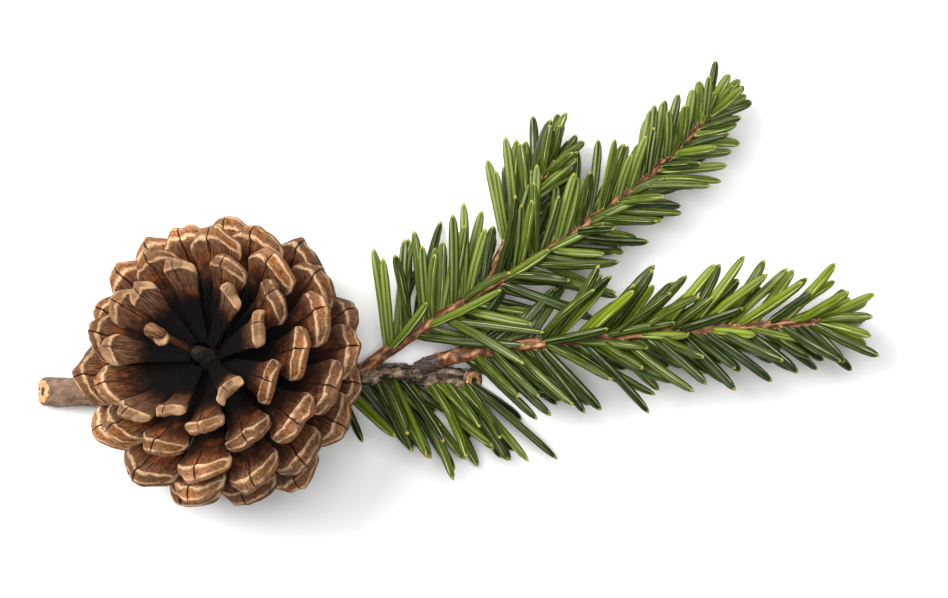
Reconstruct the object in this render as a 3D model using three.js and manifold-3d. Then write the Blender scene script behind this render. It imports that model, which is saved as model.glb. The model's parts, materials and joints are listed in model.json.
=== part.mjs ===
// A cut fir branch with an open pine cone resting on it, lying on a flat surface.
//
// Millimetres, +Z up. The origin is on the flat underside of the main twig, close to where the
// lower sprig forks off. +X runs along the twig towards the tips of the sprigs, +Y to the side on
// which the upper sprig grows. The main twig lies on the surface. Three sprigs grow from it, each a
// stem with its needles. The cone stands beside and over the twig: its stalk sits on the twig, and
// the scales of its low side reach the surface.
import * as THREE from "three";
import { mergeVertices } from "three/addons/utils/BufferGeometryUtils.js";
import Module from "manifold-3d";

const wasm = await Module();
wasm.setup();

// ---- Driving dimensions ----------------------------------------------------------------------

const GOLDEN_TURN = Math.PI * (3 - Math.sqrt(5)); // leaves and scales follow each other by this turn
const GAP = 0.3; // between neighbouring pieces

// The main twig: 9 sides, so that one flat side faces down, in the plane z = 0. The slants are how
// far the top of each cut end is turned towards the sprigs, as a share of the radius.
const TWIG = { sides: 9, steps: 8, radius: [3.0, 2.45], slants: [0.45, -0.75] };

// Each branch: the four control points of its stem, the stem's radius at both ends, and its needles.
// from and to are shares of the stem, spread is the angle to the stem in degrees and length the
// needle's length, both at the first and at the last needle. flanks holds the lowest and the highest
// turn about the stem in degrees, counted from straight up, on the right and on the left. Every
// crown-th needle lies on top of the stem instead.
const BRANCHES = {
  main_twig: {
    points: [[-71, -3.1, 0], [-42, -3.6, 0], [-16, 2.2, 0], [14.6, -0.9, 0]],
    radius: TWIG.radius,
    needles: { from: 0.68, to: 0.985, count: 60, spread: [62, 50], length: [21, 23] },
    flanks: [[46, 104], null],
    crown: 0,
  },
  upper_sprig: {
    points: [[-9.5, -0.5, 2.6], [10, 16, 8], [42, 28, 8.5], [61.8, 52.6, 9.5]],
    radius: [1.6, 0.85],
    needles: { from: 0.1, to: 0.985, count: 132, spread: [56, 34], length: [24, 12.5] },
    flanks: [[48, 112], [-48, -112]],
    crown: 16,
  },
  lower_sprig: {
    points: [[4, 1.4, 2.5], [13, 7, 11], [48, 8.2, 15], [84, 11.2, 13]],
    radius: [2.0, 0.9],
    needles: { from: 0.12, to: 0.985, count: 118, spread: [53, 38], length: [24, 15.5] },
    flanks: [[42, 122], [-42, -122]],
    crown: 10,
  },
  side_sprig: {
    points: [[16.5, 16.9, 7.6], [19.5, 24, 4.5], [25, 34, 4.5], [30.2, 42.2, 6]],
    radius: [1.1, 0.7],
    needles: { from: 0.36, to: 0.985, count: 36, spread: [36, 20], length: [21, 12] },
    flanks: [[40, 105], [-40, -105]],
    crown: 0,
  },
};
const STEM = { sides: 6, steps: 9 };
const BUD = [[0.97, 1], [0.985, 1.5], [1, 0.4]]; // share of the stem, and how much thicker it is there
const NEEDLE = {
  halfWidth: 1.0,
  halfThickness: 0.45,
  neck: [0.55, 0.05], // the share of the width just above the base, and where
  shoulder: 0.84, // where the tip starts to narrow
  bow: 0.06,
  lowest: 0.9, // height of the lowest tips above the surface
};
// The least distance between two needles' centrelines. On one branch they may stand closer, because
// they are joined in one body.
const CLEARANCE = { others: 2.3, own: 1.7 };
// How needles differ from the rule, and how the ones on top of the stem do. Angles are in degrees.
const VARIED = { lean: [0.82, 1.18], length: [0.66, 1.08], roll: [-30, 30] };
const CROWN = { around: [-70, 70], lean: 17, length: 0.85 };

// The twig's broken end, seen from above. The sprigs' needles leave it open.
const OPEN_END = { x: [-4, 17], y: [-4.7, 5] };
const SAMPLES = 9; // points on a needle's centreline at which clearances are measured
const LIFTS = [0, 8, -8, 16, -16, 24, -24, 32]; // degrees a needle is turned up or down to clear others

const CONE = {
  centre: [-35.1, 2.5, 20.85],
  tilt: 26, // degrees from upright
  towards: 151, // the side the tip leans to, in degrees from +X
  radius: 29.2, // of the scales' tips at the widest
  rise: 26, // from the centre to the scales' tips at the top
  scales: 55,
  firstTurn: 2.24,
  polar: [27, 118], // degrees from the tip to the first and the last scale
  crowding: 1.35, // above 1, the scales stand closer towards the tip
  roots: [16.3, -0.24], // a scale's height on the core, and what each degree from the tip adds to it
  bend: [0.52, 0.34], // how far out and up a scale's middle control point lies
  clearance: 4.5, // a needle keeps this far from the scales' tips
};
const CORE = {
  sides: 9,
  top: 11.5,
  bottom: -14.5,
  radius: 4.6,
  topRadius: 1.5,
  stalk: -15.6,
  stalkRadius: 2.2,
};
const SCALE = { sides: 6, smallest: 5.2, widest: 12.4, claw: 1.7, thin: 0.55, thick: 1.75 };
const BASAL = { count: 13, reach: 12.5, height: -15.5, slope: 0.12, width: 6.5 };

// ---- Small helpers ---------------------------------------------------------------------------

const UP = new THREE.Vector3(0, 0, 1);
const { degToRad, lerp, clamp, smoothstep } = THREE.MathUtils;

// The same seeming chance for the same number, from 0 to 1.
function chance(n) {
  const value = Math.sin(n * 127.1 + 311.7) * 43758.5453;
  return value - Math.floor(value);
}

// The value at x of the curve through [x, value] pairs, straight between them.
function along(pairs, x) {
  const next = Math.max(1, pairs.findIndex(([at]) => at >= x));
  const [[x0, y0], [x1, y1]] = [pairs[next - 1], pairs[next]];
  return lerp(y0, y1, (x - x0) / (x1 - x0));
}

// A closed body: a lathed profile of [radius, share of the length] pairs from axis to axis, each of
// whose vertices place(side, up, share) carries to its spot.
function moulded(profile, sides, place) {
  const lathed = new THREE.LatheGeometry(profile.map((p) => new THREE.Vector2(...p)), sides);
  lathed.deleteAttribute("normal");
  lathed.deleteAttribute("uv");
  const geometry = mergeVertices(lathed, 1e-4);
  const spots = geometry.getAttribute("position");
  for (let i = 0; i < spots.count; i++) {
    spots.setXYZ(i, ...place(spots.getX(i), spots.getZ(i), spots.getY(i)));
  }
  return geometry;
}

// The profile of a rod with flat ends, cut into equal steps.
function rod(steps) {
  const rings = Array.from({ length: steps + 1 }, (_, i) => [1, i / steps]);
  return [[0, 0], ...rings, [0, 1]];
}

function toSolid(geometry) {
  return new wasm.Manifold(
    new wasm.Mesh({
      numProp: 3,
      vertProperties: new Float32Array(geometry.getAttribute("position").array),
      triVerts: new Uint32Array(geometry.index.array),
    }),
  );
}

// The largest of the separate bodies that a cut has left.
function largestOf(solid) {
  return solid.decompose().reduce((a, b) => (a.volume() > b.volume() ? a : b));
}

function toGeometry(solid) {
  const mesh = solid.getMesh();
  const geometry = new THREE.BufferGeometry();
  geometry.setAttribute("position", new THREE.BufferAttribute(mesh.vertProperties, 3));
  geometry.setIndex(new THREE.BufferAttribute(mesh.triVerts, 1));
  return geometry;
}

// ---- The cone's place ------------------------------------------------------------------------

const coneTilt = degToRad(CONE.tilt);
const coneSide = degToRad(CONE.towards);
const coneAxis = new THREE.Vector3(
  Math.sin(coneTilt) * Math.cos(coneSide),
  Math.sin(coneTilt) * Math.sin(coneSide),
  Math.cos(coneTilt),
);
const cone = new THREE.Group();
cone.position.set(...CONE.centre);
cone.quaternion.setFromUnitVectors(UP, coneAxis);
cone.updateMatrixWorld();

// ---- Stems -----------------------------------------------------------------------------------

// The stem's line, and at each share of it the spot, the way on, the right-hand side and the upside.
function stemOf({ points }, lift = 0) {
  const curve = new THREE.CubicBezierCurve3(
    ...points.map(([x, y, z]) => new THREE.Vector3(x, y, z + lift)),
  );
  return (t) => {
    const onward = curve.getTangent(t);
    const right = new THREE.Vector3().crossVectors(onward, UP).normalize();
    const upward = new THREE.Vector3().crossVectors(right, onward);
    return { spot: curve.getPoint(t), onward, right, upward };
  };
}

// The main twig's body. Its middle rises with its radius, so that its lowest side stays at z = 0.
// extra makes it thicker all round, to cut its clearance out of a neighbour.
function twigBody(extra = 0) {
  const flatShare = Math.cos(Math.PI / TWIG.sides);
  const at = stemOf(BRANCHES.main_twig);
  return moulded(rod(TWIG.steps), TWIG.sides, (side, up, t) => {
    const radius = lerp(...TWIG.radius, t);
    const { spot, onward, right, upward } = at(t);
    const slant = t === 0 ? TWIG.slants[0] : t === 1 ? TWIG.slants[1] : 0;
    return spot
      .addScaledVector(right, side * (radius + extra))
      .addScaledVector(upward, up * (radius + extra) + radius * flatShare)
      .addScaledVector(onward, slant * up * radius);
  });
}

// A sprig's stem, which tapers and ends in a bud.
function stemBody(branch) {
  const at = stemOf(branch);
  const rings = [...rod(STEM.steps).slice(0, -2), ...BUD.map(([t]) => [1, t]), [0, 1]];
  return moulded(rings, STEM.sides, (side, up, t) => {
    const radius = lerp(...branch.radius, t) * (t > BUD[0][0] ? along(BUD, t) : 1);
    const { spot, right, upward } = at(t);
    return spot.addScaledVector(right, side * radius).addScaledVector(upward, up * radius);
  });
}

// ---- Needles ---------------------------------------------------------------------------------

// True where a needle would hide the twig's broken end from above.
function coversEnd(point) {
  const [left, right] = OPEN_END.x;
  const [near, far] = OPEN_END.y;
  return point.x > left && point.x < right && point.y > near && point.y < far;
}

// True where a needle would reach into the cone. Below the stalk there is room.
function meetsCone(point) {
  const { x, y, z: height } = cone.worldToLocal(point.clone());
  if (height < CORE.stalk) return false;
  const out = Math.hypot(x, y) / (CONE.radius + CONE.clearance);
  return Math.hypot(out, height / (CONE.rise + CONE.clearance)) < 1;
}

// The points of a needle's centreline from base to tip, with its bow.
function needleLine({ base, heading, face, length }) {
  return (share) => {
    const bow = NEEDLE.bow * length * 4 * share * (1 - share);
    return base.clone().addScaledVector(heading, share * length).addScaledVector(face, bow);
  };
}

// Turns a heading up by some degrees, and keeps the needle's tip above the surface.
function lifted(heading, base, length, degrees) {
  const flat = Math.hypot(heading.x, heading.y);
  const lowest = Math.asin(clamp((NEEDLE.lowest - base.z) / length, -1, 1));
  const rise = Math.max(Math.asin(heading.z) + degToRad(degrees), lowest);
  const around = Math.cos(rise) / flat;
  return new THREE.Vector3(heading.x * around, heading.y * around, Math.sin(rise));
}

// True where a needle comes too close to what has grown already.
function isBlocked(samples, name, grown) {
  return grown.some(({ point, reach, owner, isStem }) => {
    if (owner !== name) return samples.some((sample) => sample.distanceTo(point) < reach);
    if (isStem) return false;
    return samples.slice(3).some((sample) => sample.distanceTo(point) < CLEARANCE.own);
  });
}

// All needles of a branch, in order along its stem. grown holds the sample points of the needles
// and stems so far, which a new needle keeps clear of.
function needlesOf(name, branch, index, grown) {
  const at = stemOf(branch, name === "main_twig" ? TWIG.radius[1] : 0);
  const { from, to, count, spread, length } = branch.needles;
  const needles = [];
  for (let k = 0; k < count; k++) {
    const seed = 1000 * index + 10 * k;
    const share = (k + 0.5) / count;
    const { spot, onward, right, upward } = at(lerp(from, to, share));
    const flank = branch.flanks[branch.flanks[1] ? k % 2 : 0];
    const turns = (k * GOLDEN_TURN) / (2 * Math.PI);
    const onCrown = branch.crown > 0 && k % branch.crown === 0;
    const around = degToRad(
      onCrown ? lerp(...CROWN.around, chance(seed)) : lerp(...flank, turns - Math.floor(turns)),
    );
    const varied = lerp(...spread, share) * lerp(...VARIED.lean, chance(seed + 1));
    const lean = degToRad(onCrown ? CROWN.lean : varied);
    const full = lerp(...length, share) * lerp(...VARIED.length, chance(seed + 2));
    const long = onCrown ? full * CROWN.length : full;
    const heading = onward
      .clone()
      .multiplyScalar(Math.cos(lean))
      .addScaledVector(right, Math.sin(around) * Math.sin(lean))
      .addScaledVector(upward, Math.cos(around) * Math.sin(lean));
    for (const degrees of LIFTS) {
      const way = lifted(heading, spot, long, degrees);
      const roll = degToRad(lerp(...VARIED.roll, chance(seed + 3)));
      const face = UP.clone().addScaledVector(way, -way.z).normalize().applyAxisAngle(way, roll);
      const needle = { base: spot, heading: way, face, length: long };
      const line = needleLine(needle);
      const samples = Array.from({ length: SAMPLES }, (_, i) => line((i + 1) / SAMPLES));
      if (isBlocked(samples, name, grown) || samples.some(meetsCone)) continue;
      if (index > 0 && samples.slice(2).some(coversEnd)) continue;
      needles.push(needle);
      samples
        .slice(2)
        .forEach((point) => grown.push({ point, reach: CLEARANCE.others, owner: name }));
      break;
    }
  }
  return needles;
}

// A needle's body: three-sided with a flat back, and full width up to its shoulder. The three
// corners of a circle are 1.73 across and 1.5 high, and their middle is a quarter up.
function needleBody(needle) {
  const line = needleLine(needle);
  const side = new THREE.Vector3().crossVectors(needle.heading, needle.face);
  const profile = [[0, 0], NEEDLE.neck, [1, NEEDLE.shoulder], [0, 1]];
  return moulded(profile, 3, (x, z, share) =>
    line(share)
      .addScaledVector(side, (x * 2 * NEEDLE.halfWidth) / Math.sqrt(3))
      .addScaledVector(needle.face, ((z - 0.25) * 2 * NEEDLE.halfThickness) / 1.5),
  );
}

// ---- Cone ------------------------------------------------------------------------------------

function coreRadius(height) {
  return lerp(CORE.radius, CORE.topRadius, smoothstep(height, CORE.bottom + 4, CORE.top));
}

// One scale of the cone: where it starts on the core, where its tip stands, and how wide it is.
function scaleOf(i) {
  const share = Math.pow((i + 0.5) / CONE.scales, CONE.crowding);
  const [first, last] = CONE.polar.map((d) => Math.cos(degToRad(d)));
  const polar = Math.acos(lerp(first, last, share));
  const degrees = THREE.MathUtils.radToDeg(polar);
  const height = CONE.roots[0] + CONE.roots[1] * degrees;
  return {
    turn: CONE.firstTurn + i * GOLDEN_TURN,
    root: [coreRadius(height) + GAP + SCALE.thin * 0.7, height],
    tip: [CONE.radius * Math.sin(polar), CONE.rise * Math.cos(polar)],
    width: lerp(SCALE.smallest, SCALE.widest, smoothstep(degrees, 14, 68)),
  };
}

// A scale's body, from its claw at the core to its thick end, in the cone's frame.
function scaleBody({ turn, root, tip, width }) {
  const middle = CONE.bend.map((part, i) => lerp(root[i], tip[i], part));
  const curve = new THREE.QuadraticBezierCurve(
    ...[root, middle, tip].map((p) => new THREE.Vector2(...p)),
  );
  const outward = new THREE.Vector3(Math.cos(turn), Math.sin(turn), 0);
  const sideways = new THREE.Vector3(Math.sin(turn), -Math.cos(turn), 0);
  const thick = SCALE.thick * lerp(0.62, 1, width / SCALE.widest);
  // At each step: the share of the length, half the width and half the thickness.
  const steps = [
    [0, SCALE.claw * (width / SCALE.widest) + 0.3, SCALE.thin],
    [0.45, width * 0.3, SCALE.thin],
    [0.8, width * 0.47, thick * 0.55],
    [0.92, width * 0.5, thick],
    [1, width * 0.36, thick * 0.7],
  ];
  const halfWidths = steps.map(([t, half]) => [t, half]);
  const halfThicknesses = steps.map(([t, , half]) => [t, half]);
  const profile = [[0, 0], ...steps.map(([t]) => [1, t]), [0, 1]];
  return moulded(profile, SCALE.sides, (x, z, t) => {
    const { x: out, y: height } = curve.getPoint(t);
    const { x: run, y: rise } = curve.getTangent(t);
    const over = z * along(halfThicknesses, t);
    return outward
      .clone()
      .multiplyScalar(out - rise * over)
      .addScaledVector(sideways, x * along(halfWidths, t))
      .addScaledVector(UP, height + run * over);
  });
}

// The cone's core with its stalk, and the small closed scales around its base, joined in one. What
// would press into the twig is cut away.
function coreBody() {
  const heights = [CORE.bottom, -9, -3, 3, 9, CORE.top];
  const profile = [
    [0, CORE.stalk],
    [CORE.stalkRadius, CORE.stalk],
    [CORE.stalkRadius, CORE.bottom - 0.6],
    ...heights.map((height) => [coreRadius(height), height]),
    [0, CORE.top + 3],
  ];
  let core = toSolid(moulded(profile, CORE.sides, (x, z, height) => [z, x, height]));
  for (let i = 0; i < BASAL.count; i++) {
    const reach = BASAL.reach * lerp(0.72, 1.05, i / BASAL.count);
    const scale = scaleBody({
      turn: i * GOLDEN_TURN,
      root: [CORE.stalkRadius, CORE.bottom + 0.4],
      tip: [reach, BASAL.height + BASAL.slope * reach],
      width: BASAL.width,
    });
    core = core.add(toSolid(scale));
  }
  const twig = twigBody(GAP).applyMatrix4(cone.matrixWorld.clone().invert());
  return toGeometry(largestOf(core.subtract(toSolid(twig))));
}

// ---- The object ------------------------------------------------------------------------------

const materials = {
  bark: new THREE.MeshStandardMaterial({ color: 0x5a4a40, roughness: 0.9, metalness: 0 }),
  foliage: new THREE.MeshStandardMaterial({ color: 0x3f6420, roughness: 0.45, metalness: 0 }),
  scale: new THREE.MeshStandardMaterial({ color: 0x9a6a44, roughness: 0.7, metalness: 0 }),
  core: new THREE.MeshStandardMaterial({ color: 0x3a2318, roughness: 0.85, metalness: 0 }),
};

const branchWithCone = new THREE.Group();

function addPiece(parent, name, geometry, material) {
  const mesh = new THREE.Mesh(geometry, material);
  mesh.name = name;
  parent.add(mesh);
}

// Sample points of every stem, so that no needle of another branch runs through it.
const grown = [];
for (const [name, branch] of Object.entries(BRANCHES)) {
  const at = stemOf(branch, name === "main_twig" ? TWIG.radius[0] : 0);
  for (let t = 0; t <= 1.001; t += 0.02) {
    const reach = lerp(...branch.radius, t) + NEEDLE.halfWidth + 0.6;
    grown.push({ point: at(t).spot, reach, owner: name, isStem: true });
  }
}

const twigClearance = toSolid(twigBody(GAP));
const upperSprig = BRANCHES.upper_sprig;
const upperClearance = toSolid(
  stemBody({ ...upperSprig, radius: upperSprig.radius.map((radius) => radius + GAP) }),
);
Object.entries(BRANCHES).forEach(([name, branch], index) => {
  const isTwig = name === "main_twig";
  let stem = toSolid(isTwig ? twigBody() : stemBody(branch));
  if (!isTwig) stem = stem.subtract(twigClearance);
  if (name === "side_sprig") stem = stem.subtract(upperClearance);
  const whole = needlesOf(name, branch, index, grown)
    .map((needle) => toSolid(needleBody(needle)))
    .reduce((joined, needle) => joined.add(needle), largestOf(stem));
  addPiece(branchWithCone, name, toGeometry(whole), isTwig ? materials.bark : materials.foliage);
});

addPiece(cone, "cone_core", coreBody(), materials.core);
for (let i = 0; i < CONE.scales; i++) {
  const name = `cone_scale_${String(i + 1).padStart(2, "0")}`;
  addPiece(cone, name, scaleBody(scaleOf(i)), materials.scale);
}
branchWithCone.add(cone);

export default branchWithCone;
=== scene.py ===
"""The looks of a cut fir branch with an open pine cone resting on it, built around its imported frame.

The branch lies on the plane z = 0. Sizes are in millimetres and are made metres when a mesh is
written. The stems' lines, the needles' order and the cone's spiral are those of the frame's part.
"""

from __future__ import annotations

import json
import logging
import math
from dataclasses import dataclass, field
from enum import Enum
from typing import Any, Callable, Sequence

import bmesh
import bpy
import numpy as np
from mathutils import Matrix, Quaternion, Vector, noise

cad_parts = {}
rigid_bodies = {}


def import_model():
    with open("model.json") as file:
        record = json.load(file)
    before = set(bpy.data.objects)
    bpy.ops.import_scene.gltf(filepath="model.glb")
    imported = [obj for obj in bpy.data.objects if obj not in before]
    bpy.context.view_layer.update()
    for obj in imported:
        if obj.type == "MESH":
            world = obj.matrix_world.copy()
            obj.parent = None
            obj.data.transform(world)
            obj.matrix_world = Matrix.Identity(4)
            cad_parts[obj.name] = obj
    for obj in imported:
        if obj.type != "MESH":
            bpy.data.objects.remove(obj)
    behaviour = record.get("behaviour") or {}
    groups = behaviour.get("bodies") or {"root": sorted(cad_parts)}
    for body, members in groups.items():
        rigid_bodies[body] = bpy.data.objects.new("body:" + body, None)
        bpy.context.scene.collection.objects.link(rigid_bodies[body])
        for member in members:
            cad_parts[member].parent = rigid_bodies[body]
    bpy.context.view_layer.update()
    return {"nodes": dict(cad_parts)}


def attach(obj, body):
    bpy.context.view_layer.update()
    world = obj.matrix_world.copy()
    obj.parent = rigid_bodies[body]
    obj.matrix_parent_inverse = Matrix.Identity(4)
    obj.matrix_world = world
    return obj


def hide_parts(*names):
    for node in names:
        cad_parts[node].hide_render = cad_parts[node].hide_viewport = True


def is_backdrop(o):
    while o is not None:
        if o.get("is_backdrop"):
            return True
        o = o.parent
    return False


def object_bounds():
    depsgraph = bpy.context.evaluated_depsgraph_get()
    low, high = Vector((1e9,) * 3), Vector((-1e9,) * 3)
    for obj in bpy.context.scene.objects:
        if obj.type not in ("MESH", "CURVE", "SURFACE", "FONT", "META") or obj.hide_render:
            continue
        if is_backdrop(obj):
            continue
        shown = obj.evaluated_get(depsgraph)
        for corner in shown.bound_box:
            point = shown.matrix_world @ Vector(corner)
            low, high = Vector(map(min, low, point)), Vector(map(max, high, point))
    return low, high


log = logging.getLogger("fir_branch")

MM = 0.001
UP = Vector((0.0, 0.0, 1.0))
GOLDEN_TURN = math.pi * (3 - math.sqrt(5))
BODY = "root"
MIX_FACTOR, MIX_LOW, MIX_HIGH, MIX_RESULT = 0, 6, 7, 2  # a Mix node's sockets for colours
NEEDLE_SAMPLES = 9
BRANCH_SEEDS, ITEM_SEEDS = 1000, 10  # how far apart the seeds of branches and of their needles are
FILLER_SEEDS, SCALE_SEEDS = 50000, 7000

Pair = tuple[float, float]
Triple = tuple[float, float, float]
Colour = tuple[float, float, float]


# ---- Numbers ---------------------------------------------------------------------------------


def chance(number: float) -> float:
    """The same seeming chance for the same number, from 0 to 1."""
    value = math.sin(number * 127.1 + 311.7) * 43758.5453
    return value - math.floor(value)


def between(ends: Pair, share: float) -> float:
    """The value at a share of the way from the first end to the second."""
    return ends[0] + (ends[1] - ends[0]) * share


def smooth(value: Any, low: float, high: float) -> Any:
    """A soft step from 0 at low to 1 at high, for a number or an array."""
    share = np.clip((np.asarray(value) - low) / (high - low), 0.0, 1.0)
    return share * share * (3 - 2 * share)


# ---- Modelling -------------------------------------------------------------------------------


def let_go() -> None:
    """Deselects every object, so that a tool touches only what is picked next."""
    for other in bpy.data.objects:
        other.select_set(False)


class Bench:
    """A closed piece that is being modelled with Blender's own tools, in units of its own."""

    def __init__(self, name: str) -> None:
        """Starts with nothing selected.

        Args:
            name: What is being modelled.
        """
        self.name = name
        self.piece: bpy.types.Object | None = None
        let_go()

    def _open(self) -> None:
        """Opens the primitive just added in edit mode, with vertices selected."""
        self.piece = bpy.context.object
        self.piece.name = self.name
        bpy.ops.object.mode_set(mode="EDIT")
        bpy.ops.mesh.select_mode(type="VERT")
        bpy.ops.mesh.select_all(action="SELECT")

    def disc(self, corners: int, radius: float = 1.0) -> None:
        """Adds a filled disc in the plane z = 0, all selected."""
        bpy.ops.mesh.primitive_circle_add(vertices=corners, radius=radius, fill_type="NGON")
        self._open()

    def box(self, size: Triple, middle: Triple) -> None:
        """Adds a box of that size around its middle, all selected.

        Args:
            size: Its length along each axis.
            middle: Its middle.
        """
        bpy.ops.mesh.primitive_cube_add(size=1.0, location=middle)
        bpy.context.object.scale = size
        bpy.ops.object.transform_apply(location=True, rotation=False, scale=True)
        self._open()

    def pick(self, wanted: Callable[[Vector], bool]) -> None:
        """Selects the vertices whose place passes the test, and nothing else.

        Args:
            wanted: The test.
        """
        mesh = bmesh.from_edit_mesh(self.piece.data)
        for face in mesh.faces:
            face.select = False
        for vertex in mesh.verts:
            vertex.select = wanted(vertex.co)
        mesh.select_flush_mode()
        bmesh.update_edit_mesh(self.piece.data)

    def shift(self, *offset: float) -> None:
        """Moves the selection."""
        bpy.ops.transform.translate(value=offset)

    def stretch(self, factors: Triple, middle: Triple = (0.0, 0.0, 0.0)) -> None:
        """Scales the selection about a point."""
        bpy.ops.transform.resize(value=factors, center_override=middle)

    def extrude(self, *offset: float) -> None:
        """Extrudes the selection by an offset."""
        bpy.ops.mesh.extrude_region_move(TRANSFORM_OT_translate={"value": offset})

    def draw_out(self, rings: Sequence[Pair]) -> None:
        """Extrudes the selected disc along Z through rings of (height, size), closing at size 0.

        Args:
            rings: The first is the disc's own, and gives it its size.
        """
        height, size = rings[0]
        self.stretch((size, size, 1.0))
        self.shift(0.0, 0.0, height)
        for next_height, next_size in rings[1:]:
            self.extrude(0.0, 0.0, next_height - height)
            if next_size == 0:
                bpy.ops.mesh.merge(type="CENTER")
                return
            factor = next_size / size
            self.stretch((factor, factor, 1.0), (0.0, 0.0, next_height))
            height, size = next_height, next_size

    def cut(self, place: Triple, normal: Triple) -> None:
        """Cuts a line of edges where a plane passes through the piece."""
        bpy.ops.mesh.select_all(action="SELECT")
        bpy.ops.mesh.bisect(plane_co=place, plane_no=normal)

    def done(self, rounds: int = 0) -> bpy.types.Mesh:
        """Closes edit mode, applies rounds of subdivision and takes the mesh off the bench.

        Args:
            rounds: How often the mesh is subdivided.

        Returns:
            The mesh.
        """
        bpy.ops.object.mode_set(mode="OBJECT")
        if rounds:
            finer = self.piece.modifiers.new("Finer", "SUBSURF")
            finer.levels = finer.render_levels = rounds
            bpy.ops.object.modifier_apply(modifier=finer.name)
        mesh = self.piece.data
        bpy.data.objects.remove(self.piece)
        return mesh


def rod(name: str, sides: int, steps: int, rounds: int = 0) -> bpy.types.Mesh:
    """A straight rod along Z, 1 long and 1 in radius.

    Args:
        name: What it will become.
        sides: Its corners around.
        steps: Its rings along.
        rounds: How often it is subdivided.

    Returns:
        Its mesh.
    """
    bench = Bench(name)
    bench.disc(sides)
    bench.draw_out([(i / steps, 1.0) for i in range(steps + 1)])
    return bench.done(rounds)


def spread_out(base: Vector, *parts: tuple[np.ndarray, Vector]) -> np.ndarray:
    """Places reached from a base by going some way along each direction.

    Args:
        base: Where they all start.
        *parts: How far each place goes, and the direction.

    Returns:
        The places, as rows.
    """
    rows = np.array(base)
    for amounts, way in parts:
        rows = rows + np.outer(amounts, np.array(way))
    return rows


def places(mesh: bpy.types.Mesh) -> np.ndarray:
    """The places of a mesh's vertices, as rows.

    Args:
        mesh: The mesh.

    Returns:
        One row of three numbers per vertex.
    """
    flat = np.empty(len(mesh.vertices) * 3, dtype=np.float32)
    mesh.vertices.foreach_get("co", flat)
    return flat.reshape(-1, 3).astype(float)


def set_places(mesh: bpy.types.Mesh, rows: np.ndarray) -> None:
    """Moves a mesh's vertices to places given in millimetres."""
    mesh.vertices.foreach_set("co", (rows * MM).astype(np.float32).ravel())
    mesh.update()


def set_value(mesh: bpy.types.Mesh, name: str, values: Any) -> None:
    """Stores one number per vertex, the same for all if only one is given.

    Args:
        mesh: The mesh.
        name: What the number is.
        values: The number or numbers.
    """
    found = mesh.attributes.get(name) or mesh.attributes.new(name, "FLOAT", "POINT")
    column = np.broadcast_to(np.asarray(values, dtype=np.float32), (len(mesh.vertices),))
    found.data.foreach_set("value", np.ascontiguousarray(column))


def set_vector(mesh: bpy.types.Mesh, name: str, rows: np.ndarray) -> None:
    """Stores three numbers per vertex."""
    found = mesh.attributes.get(name) or mesh.attributes.new(name, "FLOAT_VECTOR", "POINT")
    found.data.foreach_set("vector", rows.astype(np.float32).ravel())


def roughness_at(rows: np.ndarray, size: float, offset: float = 0.0, octaves: int = 3) -> np.ndarray:
    """Smooth noise from about -1 to 1 at each place.

    Args:
        rows: The places, in millimetres.
        size: The size of the largest lumps, in millimetres.
        offset: Moves the pattern, so that copies differ.
        octaves: How many times smaller lumps are added.

    Returns:
        One number per place.
    """
    shift = Vector((offset, offset * 0.37, -offset))
    return np.array([noise.fractal(Vector(row) / size + shift, 1.0, 2.0, octaves) for row in rows])


def put(mesh: bpy.types.Mesh, name: str, finish: bpy.types.Material, slot: str, *nodes: str) -> None:
    """Makes a piece of a mesh, rides it on the frame and hides the CAD nodes it stands for.

    Args:
        mesh: The finished mesh, at its place.
        name: The piece's name.
        finish: Its material.
        slot: The record's material slot; not used.
        *nodes: The CAD nodes it replaces.
    """
    mesh.name = name
    mesh.materials.clear()
    mesh.materials.append(finish)
    piece = bpy.data.objects.new(name, mesh)
    bpy.context.scene.collection.objects.link(piece)
    mesh.polygons.foreach_set("use_smooth", [True] * len(mesh.polygons))
    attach(piece, BODY)
    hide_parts(*nodes)
    log.info("%s: %d faces", name, len(mesh.polygons))


def join(meshes: Sequence[bpy.types.Mesh], name: str) -> bpy.types.Mesh:
    """Joins meshes into one with Blender's own tool.

    Args:
        meshes: The meshes, which are used up.
        name: The joined mesh's name.

    Returns:
        The joined mesh.
    """
    let_go()
    parts = [bpy.data.objects.new(name, mesh) for mesh in meshes]
    for part in parts:
        bpy.context.scene.collection.objects.link(part)
        part.select_set(True)
    bpy.context.view_layer.objects.active = parts[0]
    if len(parts) > 1:
        bpy.ops.object.join()
    mesh = parts[0].data
    bpy.data.objects.remove(parts[0])
    return mesh


# ---- Materials -------------------------------------------------------------------------------


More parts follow.
